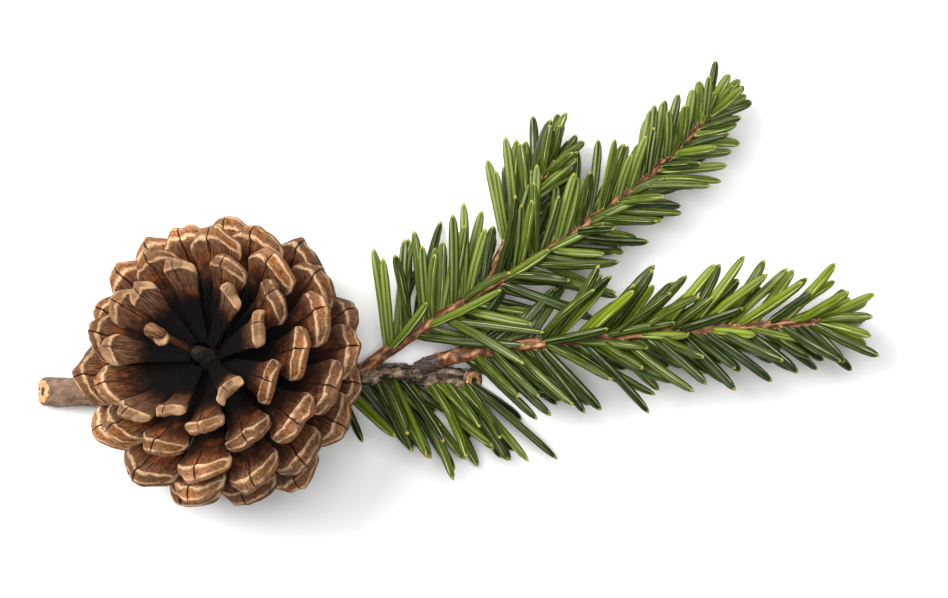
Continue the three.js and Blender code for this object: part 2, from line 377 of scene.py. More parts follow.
class Wire:
    """One output socket, which can be used in sums with numbers and other wires."""

    def __init__(self, recipe: Recipe, socket: bpy.types.NodeSocket) -> None:
        """Keeps the material it belongs to."""
        self.recipe = recipe
        self.socket = socket

    def _math(self, operation: str, first: Any, second: Any) -> Wire:
        """Adds a Math node."""
        return self.recipe.node("ShaderNodeMath", {"operation": operation}, {0: first, 1: second})

    def __add__(self, other: Any) -> Wire:
        """This plus the other."""
        return self._math("ADD", self, other)

    __radd__ = __add__

    def __sub__(self, other: Any) -> Wire:
        """This minus the other."""
        return self._math("SUBTRACT", self, other)

    def __rsub__(self, other: Any) -> Wire:
        """The other minus this."""
        return self._math("SUBTRACT", other, self)

    def __mul__(self, other: Any) -> Wire:
        """This times the other."""
        return self._math("MULTIPLY", self, other)

    __rmul__ = __mul__

    def __abs__(self) -> Wire:
        """This without its sign."""
        return self._math("ABSOLUTE", self, 0.0)

    def or_more(self, other: Any) -> Wire:
        """The larger of this and the other."""
        return self._math("MAXIMUM", self, other)

    def above(self, low: float, high: float) -> Wire:
        """A soft step from 0 at low to 1 at high."""
        values = {"Value": self, "From Min": low, "From Max": high}
        return self.recipe.node("ShaderNodeMapRange", {"interpolation_type": "SMOOTHSTEP"}, values, "Result")

    def hump(self, middle: float, half: float) -> Wire:
        """A soft band that is 1 at its middle and 0 past half its width."""
        return 1 - abs(self - middle).above(0.0, half)


class Recipe:
    """A material's nodes while they are being put together."""

    def __init__(self, name: str) -> None:
        """Makes an empty material.

        Args:
            name: Its name.
        """
        self.material = bpy.data.materials.new(name)
        self.material.use_nodes = True
        self.tree = self.material.node_tree
        self.tree.nodes.clear()

    def node(
        self, kind: str, settings: dict[str, Any], inputs: dict[Any, Any], output: Any = 0
    ) -> Wire | None:
        """Adds a node.

        Args:
            kind: The node's type.
            settings: Its own settings, which are set first. "stops" are a ramp's, as pairs of a
                place from 0 to 1 and a colour.
            inputs: Values, colours or wires by the names or numbers of its sockets.
            output: The socket that the wire starts from.

        Returns:
            The wire from that socket, or None where the node has no outputs.
        """
        made = self.tree.nodes.new(kind)
        for key, value in settings.items():
            if key == "stops":
                self._set_stops(made.color_ramp, value)
            else:
                setattr(made, key, value)
        for key, value in inputs.items():
            socket = made.inputs[key]
            if isinstance(value, Wire):
                self.tree.links.new(value.socket, socket)
            elif socket.type == "RGBA":
                socket.default_value = (*value, 1.0)
            else:
                socket.default_value = value
        return Wire(self, made.outputs[output]) if made.outputs else None

    def _set_stops(self, scale: bpy.types.ColorRamp, stops: Sequence[tuple[float, Colour]]) -> None:
        """Gives a ramp its stops.

        Args:
            scale: The ramp.
            stops: Places from 0 to 1, each with its colour.
        """
        while len(scale.elements) < len(stops):
            scale.elements.new(1.0)
        for element, (at, colour) in zip(scale.elements, stops):
            element.position = at
            element.color = (*colour, 1.0)

    def stored(self, name: str, output: str = "Fac") -> Wire:
        """A number or vector stored on the mesh."""
        return self.node("ShaderNodeAttribute", {"attribute_name": name}, {}, output)

    def place(self) -> Wire:
        """The place on the piece, in metres."""
        return self.node("ShaderNodeTexCoord", {}, {}, "Object")

    def scaled(self, vector: Wire, factors: Triple, offset: Any = None) -> Wire:
        """A vector times factors, moved along by a wire if one is given.

        Args:
            vector: The vector.
            factors: What each of its parts is multiplied by.
            offset: What is added to each part.

        Returns:
            The new vector.
        """
        grown = self.node("ShaderNodeVectorMath", {"operation": "MULTIPLY"}, {0: vector, 1: factors})
        if offset is None:
            return grown
        spread = self.node("ShaderNodeCombineXYZ", {}, {0: offset, 1: offset, 2: offset})
        return self.node("ShaderNodeVectorMath", {"operation": "ADD"}, {0: grown, 1: spread})

    def noise(self, vector: Wire, scale: float, detail: float = 4.0, rough: float = 0.55) -> Wire:
        """Cloudy noise from 0 to 1."""
        values = {"Vector": vector, "Scale": scale, "Detail": detail, "Roughness": rough}
        return self.node("ShaderNodeTexNoise", {}, values, 0)

    def blend(self, low: Any, high: Any, factor: Any, how: str = "MIX") -> Wire:
        """Mixes two colours.

        Args:
            low: The colour where the factor is 0.
            high: The colour where the factor is 1.
            factor: A number or a wire.
            how: The way of mixing.

        Returns:
            The mixed colour.
        """
        settings = {"data_type": "RGBA", "blend_type": how}
        values = {MIX_FACTOR: factor, MIX_LOW: low, MIX_HIGH: high}
        return self.node("ShaderNodeMix", settings, values, MIX_RESULT)

    def ramp(self, factor: Wire, stops: Sequence[tuple[float, Colour]]) -> Wire:
        """Colours along a number, straight between the stops."""
        return self.node("ShaderNodeValToRGB", {"stops": stops}, {0: factor})

    def tinted(self, colour: Any, strength: Wire) -> Wire:
        """A colour made darker or lighter by a number."""
        grey = self.node("ShaderNodeCombineColor", {}, {0: strength, 1: strength, 2: strength})
        return self.blend(colour, grey, 1.0, "MULTIPLY")

    def bump(self, height: Wire, distance: float, strength: float = 1.0) -> Wire:
        """A surface normal from a height, with the relief's depth in millimetres."""
        values = {"Height": height, "Distance": distance * MM, "Strength": strength}
        return self.node("ShaderNodeBump", {}, values, "Normal")

    def surface(self, inputs: dict[str, Any]) -> bpy.types.Material:
        """Closes the recipe with its surface and gives the material.

        Args:
            inputs: The surface's values or wires, by name.

        Returns:
            The material.
        """
        shader = self.node("ShaderNodeBsdfPrincipled", {}, inputs)
        self.node("ShaderNodeOutputMaterial", {}, {"Surface": shader})
        return self.material


@dataclass(frozen=True)
class NeedleFinish:
    """Waxy living needles: green, darker along the midline, with two pale bands below, painted highlight
    streaks and painted shade in the groove above, and a yellow tip.
    """

    name: str
    dark: Colour
    light: Colour
    edge: Colour = (0.20, 0.27, 0.030)
    # Pale green of the two bands below, and of the faint painted sheen lines above.
    band_and_sheen: Colour = (0.30, 0.37, 0.13)
    # Pale colour of a painted highlight streak along the top of the needle.
    painted_sheen: Colour = (0.72, 0.78, 0.42)
    tip: Colour = (0.52, 0.46, 0.06)
    foot: Colour = (0.34, 0.25, 0.05)

    def make(self) -> bpy.types.Material:
        """Builds the material from the needles' stored across, up, along and tone, which holds painted shade
        as well as each needle's random tone.

        Returns:
            The material.
        """
        recipe = Recipe(self.name)
        grain = recipe.stored("grain", "Vector")
        parts = recipe.node("ShaderNodeSeparateXYZ", {}, {0: grain}).socket.node
        across, height, along = (Wire(recipe, output) for output in parts.outputs)
        # The stored tone is a random tone with painted shade in it.
        tone = recipe.stored("tone")
        moved = recipe.scaled(grain, (2.2, 2.2, 5.0), tone * 40.0)
        cloud = recipe.noise(moved, 1.0, 3.0)
        fine = recipe.noise(recipe.scaled(grain, (7.0, 3.0, 2.5), tone * 90.0), 1.0, 3.0)
        body = recipe.blend(self.dark, self.light, (tone * 0.9 + cloud * 0.6 - 0.3).above(0.14, 1.0))
        rib = abs(across).hump(0.0, 0.2)
        # The midline is darker: on the upper side painted shade in the groove, on the underside the midrib's
        # own darker green.
        body = recipe.tinted(body, 1 - rib * 0.4)
        body = recipe.blend(body, self.edge, abs(across).above(0.80, 0.98) * 0.5)
        below = 1 - height.above(-0.35, 0.05)
        bands = abs(across).hump(0.45, 0.36) * below
        body = recipe.blend(body, self.band_and_sheen, bands * (0.30 + fine * 0.7))
        # Two faint pale lines either side of the groove on the upper side: painted sheen.
        twin_sheen = abs(across).hump(0.52, 0.2) * height.above(0.0, 0.4) * fine.above(0.35, 0.6)
        body = recipe.blend(body, self.band_and_sheen, twin_sheen * 0.22)
        # One pale streak near the midline on the upper side: a painted highlight.
        painted_sheen = (across - (tone - 0.5) * 1.1).hump(0.0, 0.13) * height.above(0.0, 0.4)
        body = recipe.blend(body, self.painted_sheen, painted_sheen * fine.above(0.46, 0.58) * (tone * 0.5 + 0.45))
        body = recipe.blend(body, self.tip, (along + cloud * 0.03).above(0.965, 1.01) * 0.9)
        body = recipe.blend(body, self.foot, 1 - (along + cloud * 0.04).above(0.03, 0.11))
        relief = recipe.bump(fine * 0.7 + cloud * 0.3 - rib * 0.6, 0.10, 0.7)
        return recipe.surface(
            {
                "Base Color": body,
                "Roughness": 0.28 + bands * 0.25 + cloud * 0.12,
                "Normal": relief,
                "Specular IOR Level": 0.22,
            }
        )


@dataclass(frozen=True)
class StemFinish:
    """The orange-brown skin of young stems with tan ridges, darker in its furrows."""

    name: str
    furrow: Colour = (0.022, 0.008, 0.003)
    skin: Colour = (0.170, 0.052, 0.016)
    ridge: Colour = (0.56, 0.285, 0.115)
    bark: Colour = (0.045, 0.030, 0.022)
    bark_end: float = 0.0

    def make(self) -> bpy.types.Material:
        """Builds the material from the stem's stored relief and grain.

        Returns:
            The material.
        """
        recipe = Recipe(self.name)
        relief = recipe.stored("relief")
        grain = recipe.stored("grain", "Vector")
        along = recipe.stored("along")
        cloud = recipe.noise(grain, 0.9, 4.0)
        streak = recipe.noise(recipe.scaled(grain, (3.5, 0.8, 1.0)), 1.0, 3.0)
        raised = (relief * 0.75 + streak * 0.6 - 0.15).above(0.1, 0.95)
        colour = recipe.ramp(raised, ((0.0, self.furrow), (0.5, self.skin), (1.0, self.ridge)))
        if self.bark_end > 0:
            ragged = along + (cloud - 0.5) * 0.16 + (streak - 0.5) * 0.12
            old = 1 - ragged.above(self.bark_end, self.bark_end + 0.04)
            bark = recipe.tinted(self.bark, streak.above(0.3, 0.7) * 2.4 + 0.3)
            colour = recipe.blend(colour, bark, old)
        normal = recipe.bump(streak * 0.6 + cloud * 0.4, 0.25, 0.8)
        return recipe.surface({"Base Color": colour, "Roughness": 0.62, "Normal": normal})


@dataclass(frozen=True)
class BarkFinish:
    """Old rough bark, nearly black in its cracks, with pale grey flakes."""

    name: str = "twig_bark"
    crack: Colour = (0.005, 0.003, 0.002)
    bark: Colour = (0.022, 0.012, 0.007)
    flake: Colour = (0.58, 0.40, 0.265)
    worn: Colour = (0.165, 0.098, 0.062)
    worn_flake: Colour = (0.35, 0.225, 0.150)

    def make(self) -> bpy.types.Material:
        """Builds the material from the bark's stored relief and grain, paler at the stub.

        Returns:
            The material.
        """
        recipe = Recipe(self.name)
        relief = recipe.stored("relief")
        grain = recipe.stored("grain", "Vector")
        along = recipe.stored("along")
        fine = recipe.noise(grain, 2.6, 5.0, 0.65)
        cloud = recipe.noise(grain, 0.5, 3.0)
        streak = recipe.noise(recipe.scaled(grain, (2.6, 0.8, 1.0)), 1.0, 5.0, 0.7)
        level = relief * 0.42 + streak * 0.5 + fine * 0.4 - 0.16
        old = ((0.28, self.crack), (0.50, self.bark), (0.72, self.flake), (0.9, self.flake))
        dark = recipe.ramp(level, old)
        dark = recipe.blend(dark, self.bark, cloud.above(0.42, 0.62) * 0.5)
        stub = ((0.12, self.bark), (0.36, self.worn), (0.7, self.worn_flake), (0.9, self.flake))
        colour = recipe.blend(recipe.ramp(level, stub), dark, along.above(0.2, 0.6))
        normal = recipe.bump(fine * 0.5 + streak, 0.6, 1.0)
        return recipe.surface({"Base Color": colour, "Roughness": 0.88, "Normal": normal})


@dataclass(frozen=True)
class CutWoodFinish:
    """Broken or cut wood: light tan rings, darker at the pith."""

    name: str = "cut_wood"
    wood: Colour = (0.74, 0.42, 0.19)
    dark: Colour = (0.46, 0.19, 0.055)
    pith: Colour = (0.02, 0.011, 0.006)

    def make(self) -> bpy.types.Material:
        """Builds the material from the stored share of the way out from the pith.

        Returns:
            The material.
        """
        recipe = Recipe(self.name)
        out = recipe.stored("out")
        grain = recipe.stored("grain", "Vector")
        cloud = recipe.noise(grain, 1.6, 4.0)
        fine = recipe.noise(grain, 7.0, 3.0)
        wood = recipe.blend(self.dark, self.wood, (cloud * 0.8 + fine * 0.5).above(0.42, 0.78))
        colour = recipe.blend(self.pith, wood, (out + cloud * 0.1).above(0.36, 0.5))
        normal = recipe.bump(fine * 0.5 + cloud, 0.3, 0.9)
        return recipe.surface({"Base Color": colour, "Roughness": 0.8, "Normal": normal})


@dataclass(frozen=True)
class ScaleFinish:
    """A cone scale: dark red-brown fibrous inside, painted near black towards the root as painted shade, a
    tan end with painted highlights along its ridge and edges, and a crack.
    """

    name: str = "cone_scale_wood"
    # Near black: the painted shade deep between the scales, also used for the crack.
    deep: Colour = (0.0022, 0.0010, 0.0006)
    inside: Colour = (0.042, 0.0125, 0.0045)
    warm: Colour = (0.27, 0.072, 0.012)
    grey: Colour = (0.205, 0.106, 0.056)
    tan: Colour = (0.42, 0.192, 0.078)
    orange: Colour = (0.42, 0.145, 0.034)
    # Pale colour of the painted highlights along the ends' crest, brim and side edges.
    ridge: Colour = (0.94, 0.62, 0.36)
    cream: Colour = (0.72, 0.44, 0.23)
    under: Colour = (0.11, 0.052, 0.026)

    def make(self) -> bpy.types.Material:
        """Builds the material from the scale's stored share of its length, side and paleness.

        Returns:
            The material.
        """
        recipe = Recipe(self.name)
        along = recipe.stored("along")
        across = recipe.stored("across")
        side = recipe.stored("side")
        pale = recipe.stored("pale")
        tone = recipe.stored("tone")
        grain = recipe.stored("grain", "Vector")
        moved = recipe.scaled(grain, (1.0, 1.0, 1.0), tone * 60.0)
        cloud = recipe.noise(moved, 0.30, 4.0)
        mottle = recipe.noise(moved, 0.9, 5.0, 0.65)
        fine = recipe.noise(moved, 2.6, 5.0, 0.7)
        fibre = recipe.noise(recipe.scaled(moved, (4.5, 0.5, 1.0)), 1.0, 5.0, 0.65)
        reach = along + (cloud - 0.5) * 0.16 + (fine - 0.5) * 0.04
        # Inside, the scale darkens to near black towards its root: painted shade between the scales, over
        # its own dark red-brown.
        inner = recipe.ramp(
            reach,
            (
                (0.50, self.deep),
                (0.68, self.inside),
                (0.80, tuple(2.6 * c for c in self.inside)),
                (0.90, self.grey),
            ),
        )
        warmth = cloud.above(0.50, 0.68) * along.above(0.55, 0.72) * (1 - along.above(0.84, 0.92))
        inner = recipe.blend(inner, self.warm, warmth * 0.7)
        inner = recipe.tinted(inner, fibre.above(0.30, 0.72) * 1.5 + 0.1)
        specks = fine.above(0.60, 0.70) * along.above(0.45, 0.6) * 0.4
        inner = recipe.blend(inner, self.grey, specks)
        wave = (cloud - 0.5) * 0.07 + (mottle - 0.5) * 0.06 + (fine - 0.5) * 0.05
        fold = (along + wave).hump(0.958, 0.016) * (1 - mottle.above(0.45, 0.66))
        end = recipe.blend(self.tan, self.orange, cloud.above(0.42, 0.62))
        end = recipe.blend(end, self.grey, mottle.above(0.42, 0.58) * 0.8)
        # The end is darkened by the stored tone, which holds painted shade on the cone's right side.
        end = recipe.tinted(end, tone + 0.55)
        end = recipe.tinted(end, fine.above(0.30, 0.68) * 0.6 + 0.55 - fold * 0.35)
        end = recipe.blend(end, self.inside, (1 - mottle.above(0.34, 0.52)) * 0.75)
        top = recipe.blend(inner, end, (along + (mottle - 0.5) * 0.04).above(0.875, 0.905))
        # Pale lines along the end's crest, outer brim and side edges: painted highlights.
        crest = (along + wave).hump(0.926, 0.024) * fine.above(0.28, 0.52)
        brim = (along + (fine - 0.5) * 0.02).above(0.985, 1.0) * cloud.above(0.36, 0.56)
        edge = abs(across).above(0.93, 0.99) * along.above(0.80, 0.9)
        light = crest.or_more(brim).or_more(edge * 0.8)
        top = recipe.blend(top, self.ridge, light * (tone * 0.45 + 0.55))
        below = recipe.tinted(self.under, fibre.above(0.25, 0.75) * 1.3 + 0.3)
        # The underside also goes near black towards the root, as painted shade.
        below = recipe.blend(self.deep, below, reach.above(0.2, 0.6))
        below = recipe.blend(below, end, along.above(0.90, 0.96))
        colour = recipe.blend(below, top, side.above(-0.1, 0.15))
        shaft = recipe.tinted(self.grey, fibre.above(0.3, 0.7) * 1.2 + 0.2)
        colour = recipe.blend(colour, shaft, pale * along.above(0.55, 0.85) * 0.75)
        capped = pale * (along + (mottle - 0.5) * 0.06).above(0.90, 0.93)
        hem = abs(across).above(0.45, 0.95) * 0.7 + (along + wave).hump(0.93, 0.03) * 0.7 + 0.10
        colour = recipe.blend(colour, self.cream, capped * hem * mottle.above(0.2, 0.5))
        wander = (recipe.noise(recipe.scaled(moved, (0.0, 0.5, 0.0)), 1.0, 2.0) - 0.5) * 0.14
        crack = (1 - abs(across + wander).above(0.010, 0.035)) * along.above(0.5, 0.75)
        colour = recipe.blend(colour, self.deep, crack * side.above(0.0, 0.1) * 0.9)
        height = fibre * 0.5 + fine * 0.35 + mottle * 0.5 - crack * 0.8
        return recipe.surface(
            {
                "Base Color": colour,
                "Roughness": 0.58 + fibre * 0.25,
                "Normal": recipe.bump(height, 0.45, 1.0),
                "Specular IOR Level": 0.15,
            }
        )


@dataclass(frozen=True)
class CoreFinish:
    """The cone's dark fibrous core."""

    name: str = "cone_core_wood"
    dark: Colour = (0.004, 0.002, 0.0012)
    light: Colour = (0.045, 0.024, 0.013)

    def make(self) -> bpy.types.Material:
        """Builds the material from streaks along the core.

        Returns:
            The material.
        """
        recipe = Recipe(self.name)
        place = recipe.place()
        streak = recipe.noise(recipe.scaled(place, (1500.0, 1500.0, 350.0)), 1.0, 4.0)
        colour = recipe.blend(self.dark, self.light, streak.above(0.35, 0.8))
        return recipe.surface(
            {"Base Color": colour, "Roughness": 0.85, "Normal": recipe.bump(streak, 0.4, 0.9)}
        )


@dataclass(frozen=True)
class BudFinish:
    """A resting bud: overlapping papery scales, chestnut with tan edges."""

    name: str = "bud_scales"
    dark: Colour = (0.10, 0.035, 0.012)
    light: Colour = (0.42, 0.24, 0.11)

    def make(self) -> bpy.types.Material:
        """Builds the material from the bud's stored relief.

        Returns:
            The material.
        """
        recipe = Recipe(self.name)
        relief = recipe.stored("relief")
        fine = recipe.noise(recipe.place(), 2500.0, 3.0)
        colour = recipe.blend(self.dark, self.light, (relief * 0.8 + fine * 0.4).above(0.3, 1.0))
        return recipe.surface(
            {"Base Color": colour, "Roughness": 0.5, "Normal": recipe.bump(fine, 0.1, 0.7)}
        )


# ---- Branches --------------------------------------------------------------------------------


class Flank(Enum):
    """The side of a stem that a needle stands on."""

    RIGHT = "right"
    LEFT = "left"
    CROWN = "crown"


@dataclass(frozen=True)
class Growth:
    """How needles stand along a stem: spread and length at the first and at the last one."""

    start: float
    end: float
    count: int
    spread: Pair
    length: Pair
    flanks: tuple[Pair, ...]
    crown: int = 0
    low: int = 0
    last: int = 0


@dataclass(frozen=True)
class Branch:
    """A stem's four control points, its radius at both ends and its needles."""

    node: str
    title: str
    points: tuple[Triple, ...]
    radius: Pair
    growth: Growth
    shown_below: float = 0.0
    # The factor that darkens the needles of the stem's right flank, as painted shade.
    right_painted_shade: float = 1.0


@dataclass(frozen=True)
class Station:
    """A spot on a stem's line, with the way on, the right-hand side and the upside."""

    spot: Vector
    onward: Vector
    right: Vector
    upward: Vector

    def leaning(self, around: float, lean: float) -> Vector:
        """The way that leans off the line towards one side of it.

        Args:
            around: The side, as an angle from the upside, in radians.
            lean: The angle off the line, in radians.

        Returns:
            The way.
        """
        aside = self.right * (math.sin(around) * math.sin(lean))
        above = self.upward * (math.cos(around) * math.sin(lean))
        return self.onward * math.cos(lean) + aside + above


@dataclass(frozen=True)
class StemLine:
    """A stem's line, a Bezier curve through its control points."""

    points: tuple[Triple, ...]
    lift: float = 0.0

    def at(self, share: float) -> Station:
        """The station at a share of the line.

        Args:
            share: From 0 at its start to 1 at its end.

        Returns:
            The station.
        """
        raised = Vector((0.0, 0.0, self.lift))
        a, b, c, d = (Vector(point) + raised for point in self.points)
        rest = 1 - share
        spot = a * rest**3 + b * (3 * rest**2 * share) + c * (3 * rest * share**2) + d * share**3
        onward = ((b - a) * rest**2 + (c - b) * (2 * rest * share) + (d - c) * share**2).normalized()
        right = onward.cross(UP).normalized()
        return Station(spot, onward, right, right.cross(onward))

    def length(self) -> float:
        """The line's length, measured in short steps."""
        spots = [self.at(i / 40).spot for i in range(41)]
        return sum((b - a).length for a, b in zip(spots, spots[1:]))


@dataclass(frozen=True)
class NeedleShape:
    """A needle's sizes, and how needles differ from the rule. Angles are in degrees."""

    half_width: float = 1.0
    half_thickness: float = 0.45
    bow: float = 0.06
    lowest: float = 0.9
    lean: Pair = (0.82, 1.18)
    length: Pair = (0.66, 1.08)
    roll: Pair = (-30.0, 30.0)
    crown_around: Pair = (-70.0, 70.0)
    crown_lean: float = 17.0
    crown_length: float = 0.85
    rings: tuple[Pair, ...] = (
        (0.0, 0.42),
        (0.05, 0.46),
        (0.18, 0.84),
        (0.5, 1.0),
        (0.80, 0.95),
        (0.91, 0.78),
        (0.97, 0.46),
        (1.0, 0.0),
    )


@dataclass(frozen=True)
class Needle:
    """Where one needle stands."""

    base: Vector
    heading: Vector
    face: Vector
    length: float
    flank: Flank
    share: float
    seed: float
    tone: float

    def line(self, share: float, bow: float) -> Vector:
        """A point of its centreline."""
        sag = bow * self.length * 4 * share * (1 - share)
        return self.base + self.heading * (share * self.length) + self.face * sag

    def samples(self, bow: float) -> list[Vector]:
        """Points along its centreline, the last at its tip."""
        return [self.line((i + 1) / NEEDLE_SAMPLES, bow) for i in range(NEEDLE_SAMPLES)]


@dataclass
class Thicket:
    """Sample points of what has grown so far, which new needles keep clear of."""

    others: float = 2.3
    own: float = 1.7
    points: np.ndarray = field(default_factory=lambda: np.empty((0, 3)))
    reaches: np.ndarray = field(default_factory=lambda: np.empty(0))
    owners: np.ndarray = field(default_factory=lambda: np.empty(0, dtype=int))
    stems: np.ndarray = field(default_factory=lambda: np.empty(0, dtype=bool))

    def add(self, points: Sequence[Vector], reaches: Sequence[float], owner: int, stem: bool) -> None:
        """Adds points that others keep their reach away from.

        Args:
            points: The points.
            reaches: How near each may be come to.
            owner: The branch they belong to.
            stem: They are a stem's.
        """
        self.points = np.vstack([self.points, np.array([tuple(point) for point in points])])
        self.reaches = np.append(self.reaches, reaches)
        self.owners = np.append(self.owners, [owner] * len(points))
        self.stems = np.append(self.stems, [stem] * len(points))

    def blocks(self, line: Sequence[Vector], owner: int) -> bool:
        """True where a needle's samples come too close to what is there.

        Args:
            line: The needle's samples, from its foot.
            owner: The branch it grows on.

        Returns:
            Whether it is blocked.
        """
        rows = np.array([tuple(point) for point in line])
        far = np.linalg.norm(rows[:, None, :] - self.points[None, :, :], axis=2)
        foreign = self.owners != owner
        if (far[:, foreign] < self.reaches[foreign]).any():
            return True
        return bool((far[3:][:, ~foreign & ~self.stems] < self.own).any())


@dataclass
class ConePlace:
    """Where the cone stands, and the space that needles leave it."""

    centre: Triple = (-35.1, 2.5, 20.85)
    tilt: float = 26.0
    towards: float = 151.0
    radius: float = 29.2
    rise: float = 26.0
    clearance: float = 4.5
    stalk: float = -15.6

    def matrix(self) -> Matrix:
        """The cone's own frame: its axis is +Z and its centre the origin.

        Returns:
            The matrix from that frame to the branch's.
        """
        tilt, side = math.radians(self.tilt), math.radians(self.towards)
        axis = Vector((math.sin(tilt) * math.cos(side), math.sin(tilt) * math.sin(side), math.cos(tilt)))
        turn = UP.rotation_difference(axis).to_matrix().to_4x4()
        return Matrix.Translation(self.centre) @ turn

    def meets(self, point: Vector, inverse: Matrix) -> bool:
        """True where a needle would reach into the cone. Below the stalk there is room.

        Args:
            point: A point of the needle.
            inverse: The matrix into the cone's own frame.

        Returns:
            Whether it does.
        """
        x, y, height = inverse @ point
        if height < self.stalk:
            return False
        out = math.hypot(x, y) / (self.radius + self.clearance)
        return math.hypot(out, height / (self.rise + self.clearance)) < 1


@dataclass
class Foliage:
    """All the needles, grown branch by branch in the frame's own order."""

    branches: tuple[Branch, ...]
    cone: ConePlace
    twig_lift: float
    shape: NeedleShape = field(default_factory=NeedleShape)
    lifts: tuple[float, ...] = (0, 8, -8, 16, -16, 24, -24, 32)
    open_x: Pair = (-4.0, 17.0)
    open_y: Pair = (-4.7, 5.0)
    low_around: Pair = (96.0, 130.0)
    low_lean: Pair = (0.62, 1.1)
    # How bright the needles under a stem may be at most: they are darkened as painted shade.
    low_painted_shade: float = 0.45
    low_length: float = 0.86
    least_tone: float = 0.15
    last_lean: Pair = (14.0, 32.0)
    last_length: float = 0.8
    stem_gap: float = 0.6

    def grow(self) -> dict[str, list[Needle]]:
        """Places every needle.

        Returns:
            The needles of each branch, by the branch's node.
        """
        thicket = Thicket()
        inverse = self.cone.matrix().inverted()
        for owner, branch in enumerate(self.branches):
            line = StemLine(branch.points, branch.radius[0] if owner == 0 else 0.0)
            shares = [i * 0.02 for i in range(51)]
            reaches = [between(branch.radius, s) + self.shape.half_width + self.stem_gap for s in shares]
            thicket.add([line.at(s).spot for s in shares], reaches, owner, True)
        grown = {}
        for owner, branch in enumerate(self.branches):
            grown[branch.node] = self._along(branch, owner, thicket, inverse)
        for owner, branch in enumerate(self.branches):
            grown[branch.node] += self._filling(branch, owner, inverse)
            log.info("%s: %d needles", branch.node, len(grown[branch.node]))
        return grown

    def _along(self, branch: Branch, owner: int, thicket: Thicket, inverse: Matrix) -> list[Needle]:
        """Places one branch's needles, in order along its stem.

        Args:
            branch: The branch.
            owner: Its number.
            thicket: What has grown so far, which is added to.
            inverse: The matrix into the cone's own frame.

        Returns:
            The needles.
        """
        line = StemLine(branch.points, self.twig_lift if owner == 0 else 0.0)
        growth, shape = branch.growth, self.shape
        needles = []
        for k in range(growth.count):
            seed = BRANCH_SEEDS * owner + ITEM_SEEDS * k
            share = (k + 0.5) / growth.count
            at = between((growth.start, growth.end), share)
            station = line.at(at)
            on_crown = growth.crown > 0 and k % growth.crown == 0
            flank = growth.flanks[k % len(growth.flanks)]
            turns = k * GOLDEN_TURN / (2 * math.pi)
            around = between(flank, turns - math.floor(turns))
            lean = between(growth.spread, share) * between(shape.lean, chance(seed + 1))
            length = between(growth.length, share) * between(shape.length, chance(seed + 2))
            side = Flank.RIGHT if k % len(growth.flanks) == 0 else Flank.LEFT
            if on_crown:
                around, lean = between(shape.crown_around, chance(seed)), shape.crown_lean
                length, side = length * shape.crown_length, Flank.CROWN
            around, lean = math.radians(around), math.radians(lean)
            heading = station.leaning(around, lean)
            for degrees in self.lifts:
                way = self._lifted(heading, station.spot, length, degrees)
                face = self._face(way, seed)
                tone = between((self.least_tone, 1.0), chance(seed + 7))
                # Needles on the right flank take the branch's painted shade.
                tone *= branch.right_painted_shade if side is Flank.RIGHT else 1.0
                needle = Needle(station.spot, way, face, length, side, at, seed, tone)
                samples = needle.samples(shape.bow)
                if thicket.blocks(samples, owner) or any(self.cone.meets(p, inverse) for p in samples):
                    continue
                if owner > 0 and any(self._covers_end(point) for point in samples[2:]):
                    continue
                needles.append(needle)
                thicket.add(samples[2:], [thicket.others] * len(samples[2:]), owner, False)
                break
        return needles

    def _filling(self, branch: Branch, owner: int, inverse: Matrix) -> list[Needle]:
        """Places the needles under a stem, darkened as painted shade, and the short ones around its bud.

        Args:
            branch: The branch.
            owner: Its number.
            inverse: The matrix into the cone's own frame.

        Returns:
            The needles.
        """
        line = StemLine(branch.points, self.twig_lift if owner == 0 else 0.0)
        growth, needles = branch.growth, []
        for k in range(growth.low + growth.last):
            seed = FILLER_SEEDS + BRANCH_SEEDS * owner + ITEM_SEEDS * k
            last = k >= growth.low
            share = 1.0 if last else (k + 0.5) / growth.low
            at = between((growth.start, growth.end), share)
            station = line.at(at)
            sign = 1 if k % len(growth.flanks) == 0 else -1
            around = math.radians(sign * between(self.low_around, chance(seed)))
            lean = between(growth.spread, share) * between(self.low_lean, chance(seed + 1))
            length = between(growth.length, share) * between(self.shape.length, chance(seed + 2))
            length *= self.last_length if last else self.low_length
            if last:
                around = k * GOLDEN_TURN
                lean = between(self.last_lean, chance(seed + 1))
            lean = math.radians(lean)
            heading = station.leaning(around, lean)
            way = self._lifted(heading, station.spot, length, 0.0)
            face = self._face(way, seed)
            side = Flank.CROWN if last else Flank.RIGHT if sign > 0 else Flank.LEFT
            # Needles under the stem are darkened as painted shade; those at the bud keep a random tone.
            tone = 0.3 + 0.7 * chance(seed + 7) if last else chance(seed + 7) * self.low_painted_shade
            # Needles on the right flank take the branch's painted shade.
            tone *= branch.right_painted_shade if side is Flank.RIGHT else 1.0
            needle = Needle(station.spot, way, face, length, side, at, seed, tone)
            spots = needle.samples(self.shape.bow)
            if owner > 0 and any(self._covers_end(point) for point in spots[2:]):
                continue
            if not any(self.cone.meets(point, inverse) for point in spots):
                needles.append(needle)
        return needles

    def _covers_end(self, point: Vector) -> bool:
        """True where a needle would hide the twig's broken end from above."""
        return self.open_x[0] < point.x < self.open_x[1] and self.open_y[0] < point.y < self.open_y[1]

    def _face(self, way: Vector, seed: float) -> Vector:
        """The way that a needle's upper side looks, rolled a little."""
        roll = math.radians(between(self.shape.roll, chance(seed + 3)))
        return Quaternion(way, roll) @ (UP - way * way.z).normalized()

    def _lifted(self, heading: Vector, base: Vector, length: float, degrees: float) -> Vector:
        """Turns a heading up by some degrees, and keeps the needle's tip above the surface.

        Args:
            heading: The way it points.
            base: Where it stands.
            length: Its length.
            degrees: How far it is turned up.

        Returns:
            The new heading.
        """
        lowest = math.asin(max(-1.0, min(1.0, (self.shape.lowest - base.z) / length)))
        rise = max(math.asin(heading.z) + math.radians(degrees), lowest)
        around = math.cos(rise) / math.hypot(heading.x, heading.y)
        return Vector((heading.x * around, heading.y * around, math.sin(rise)))


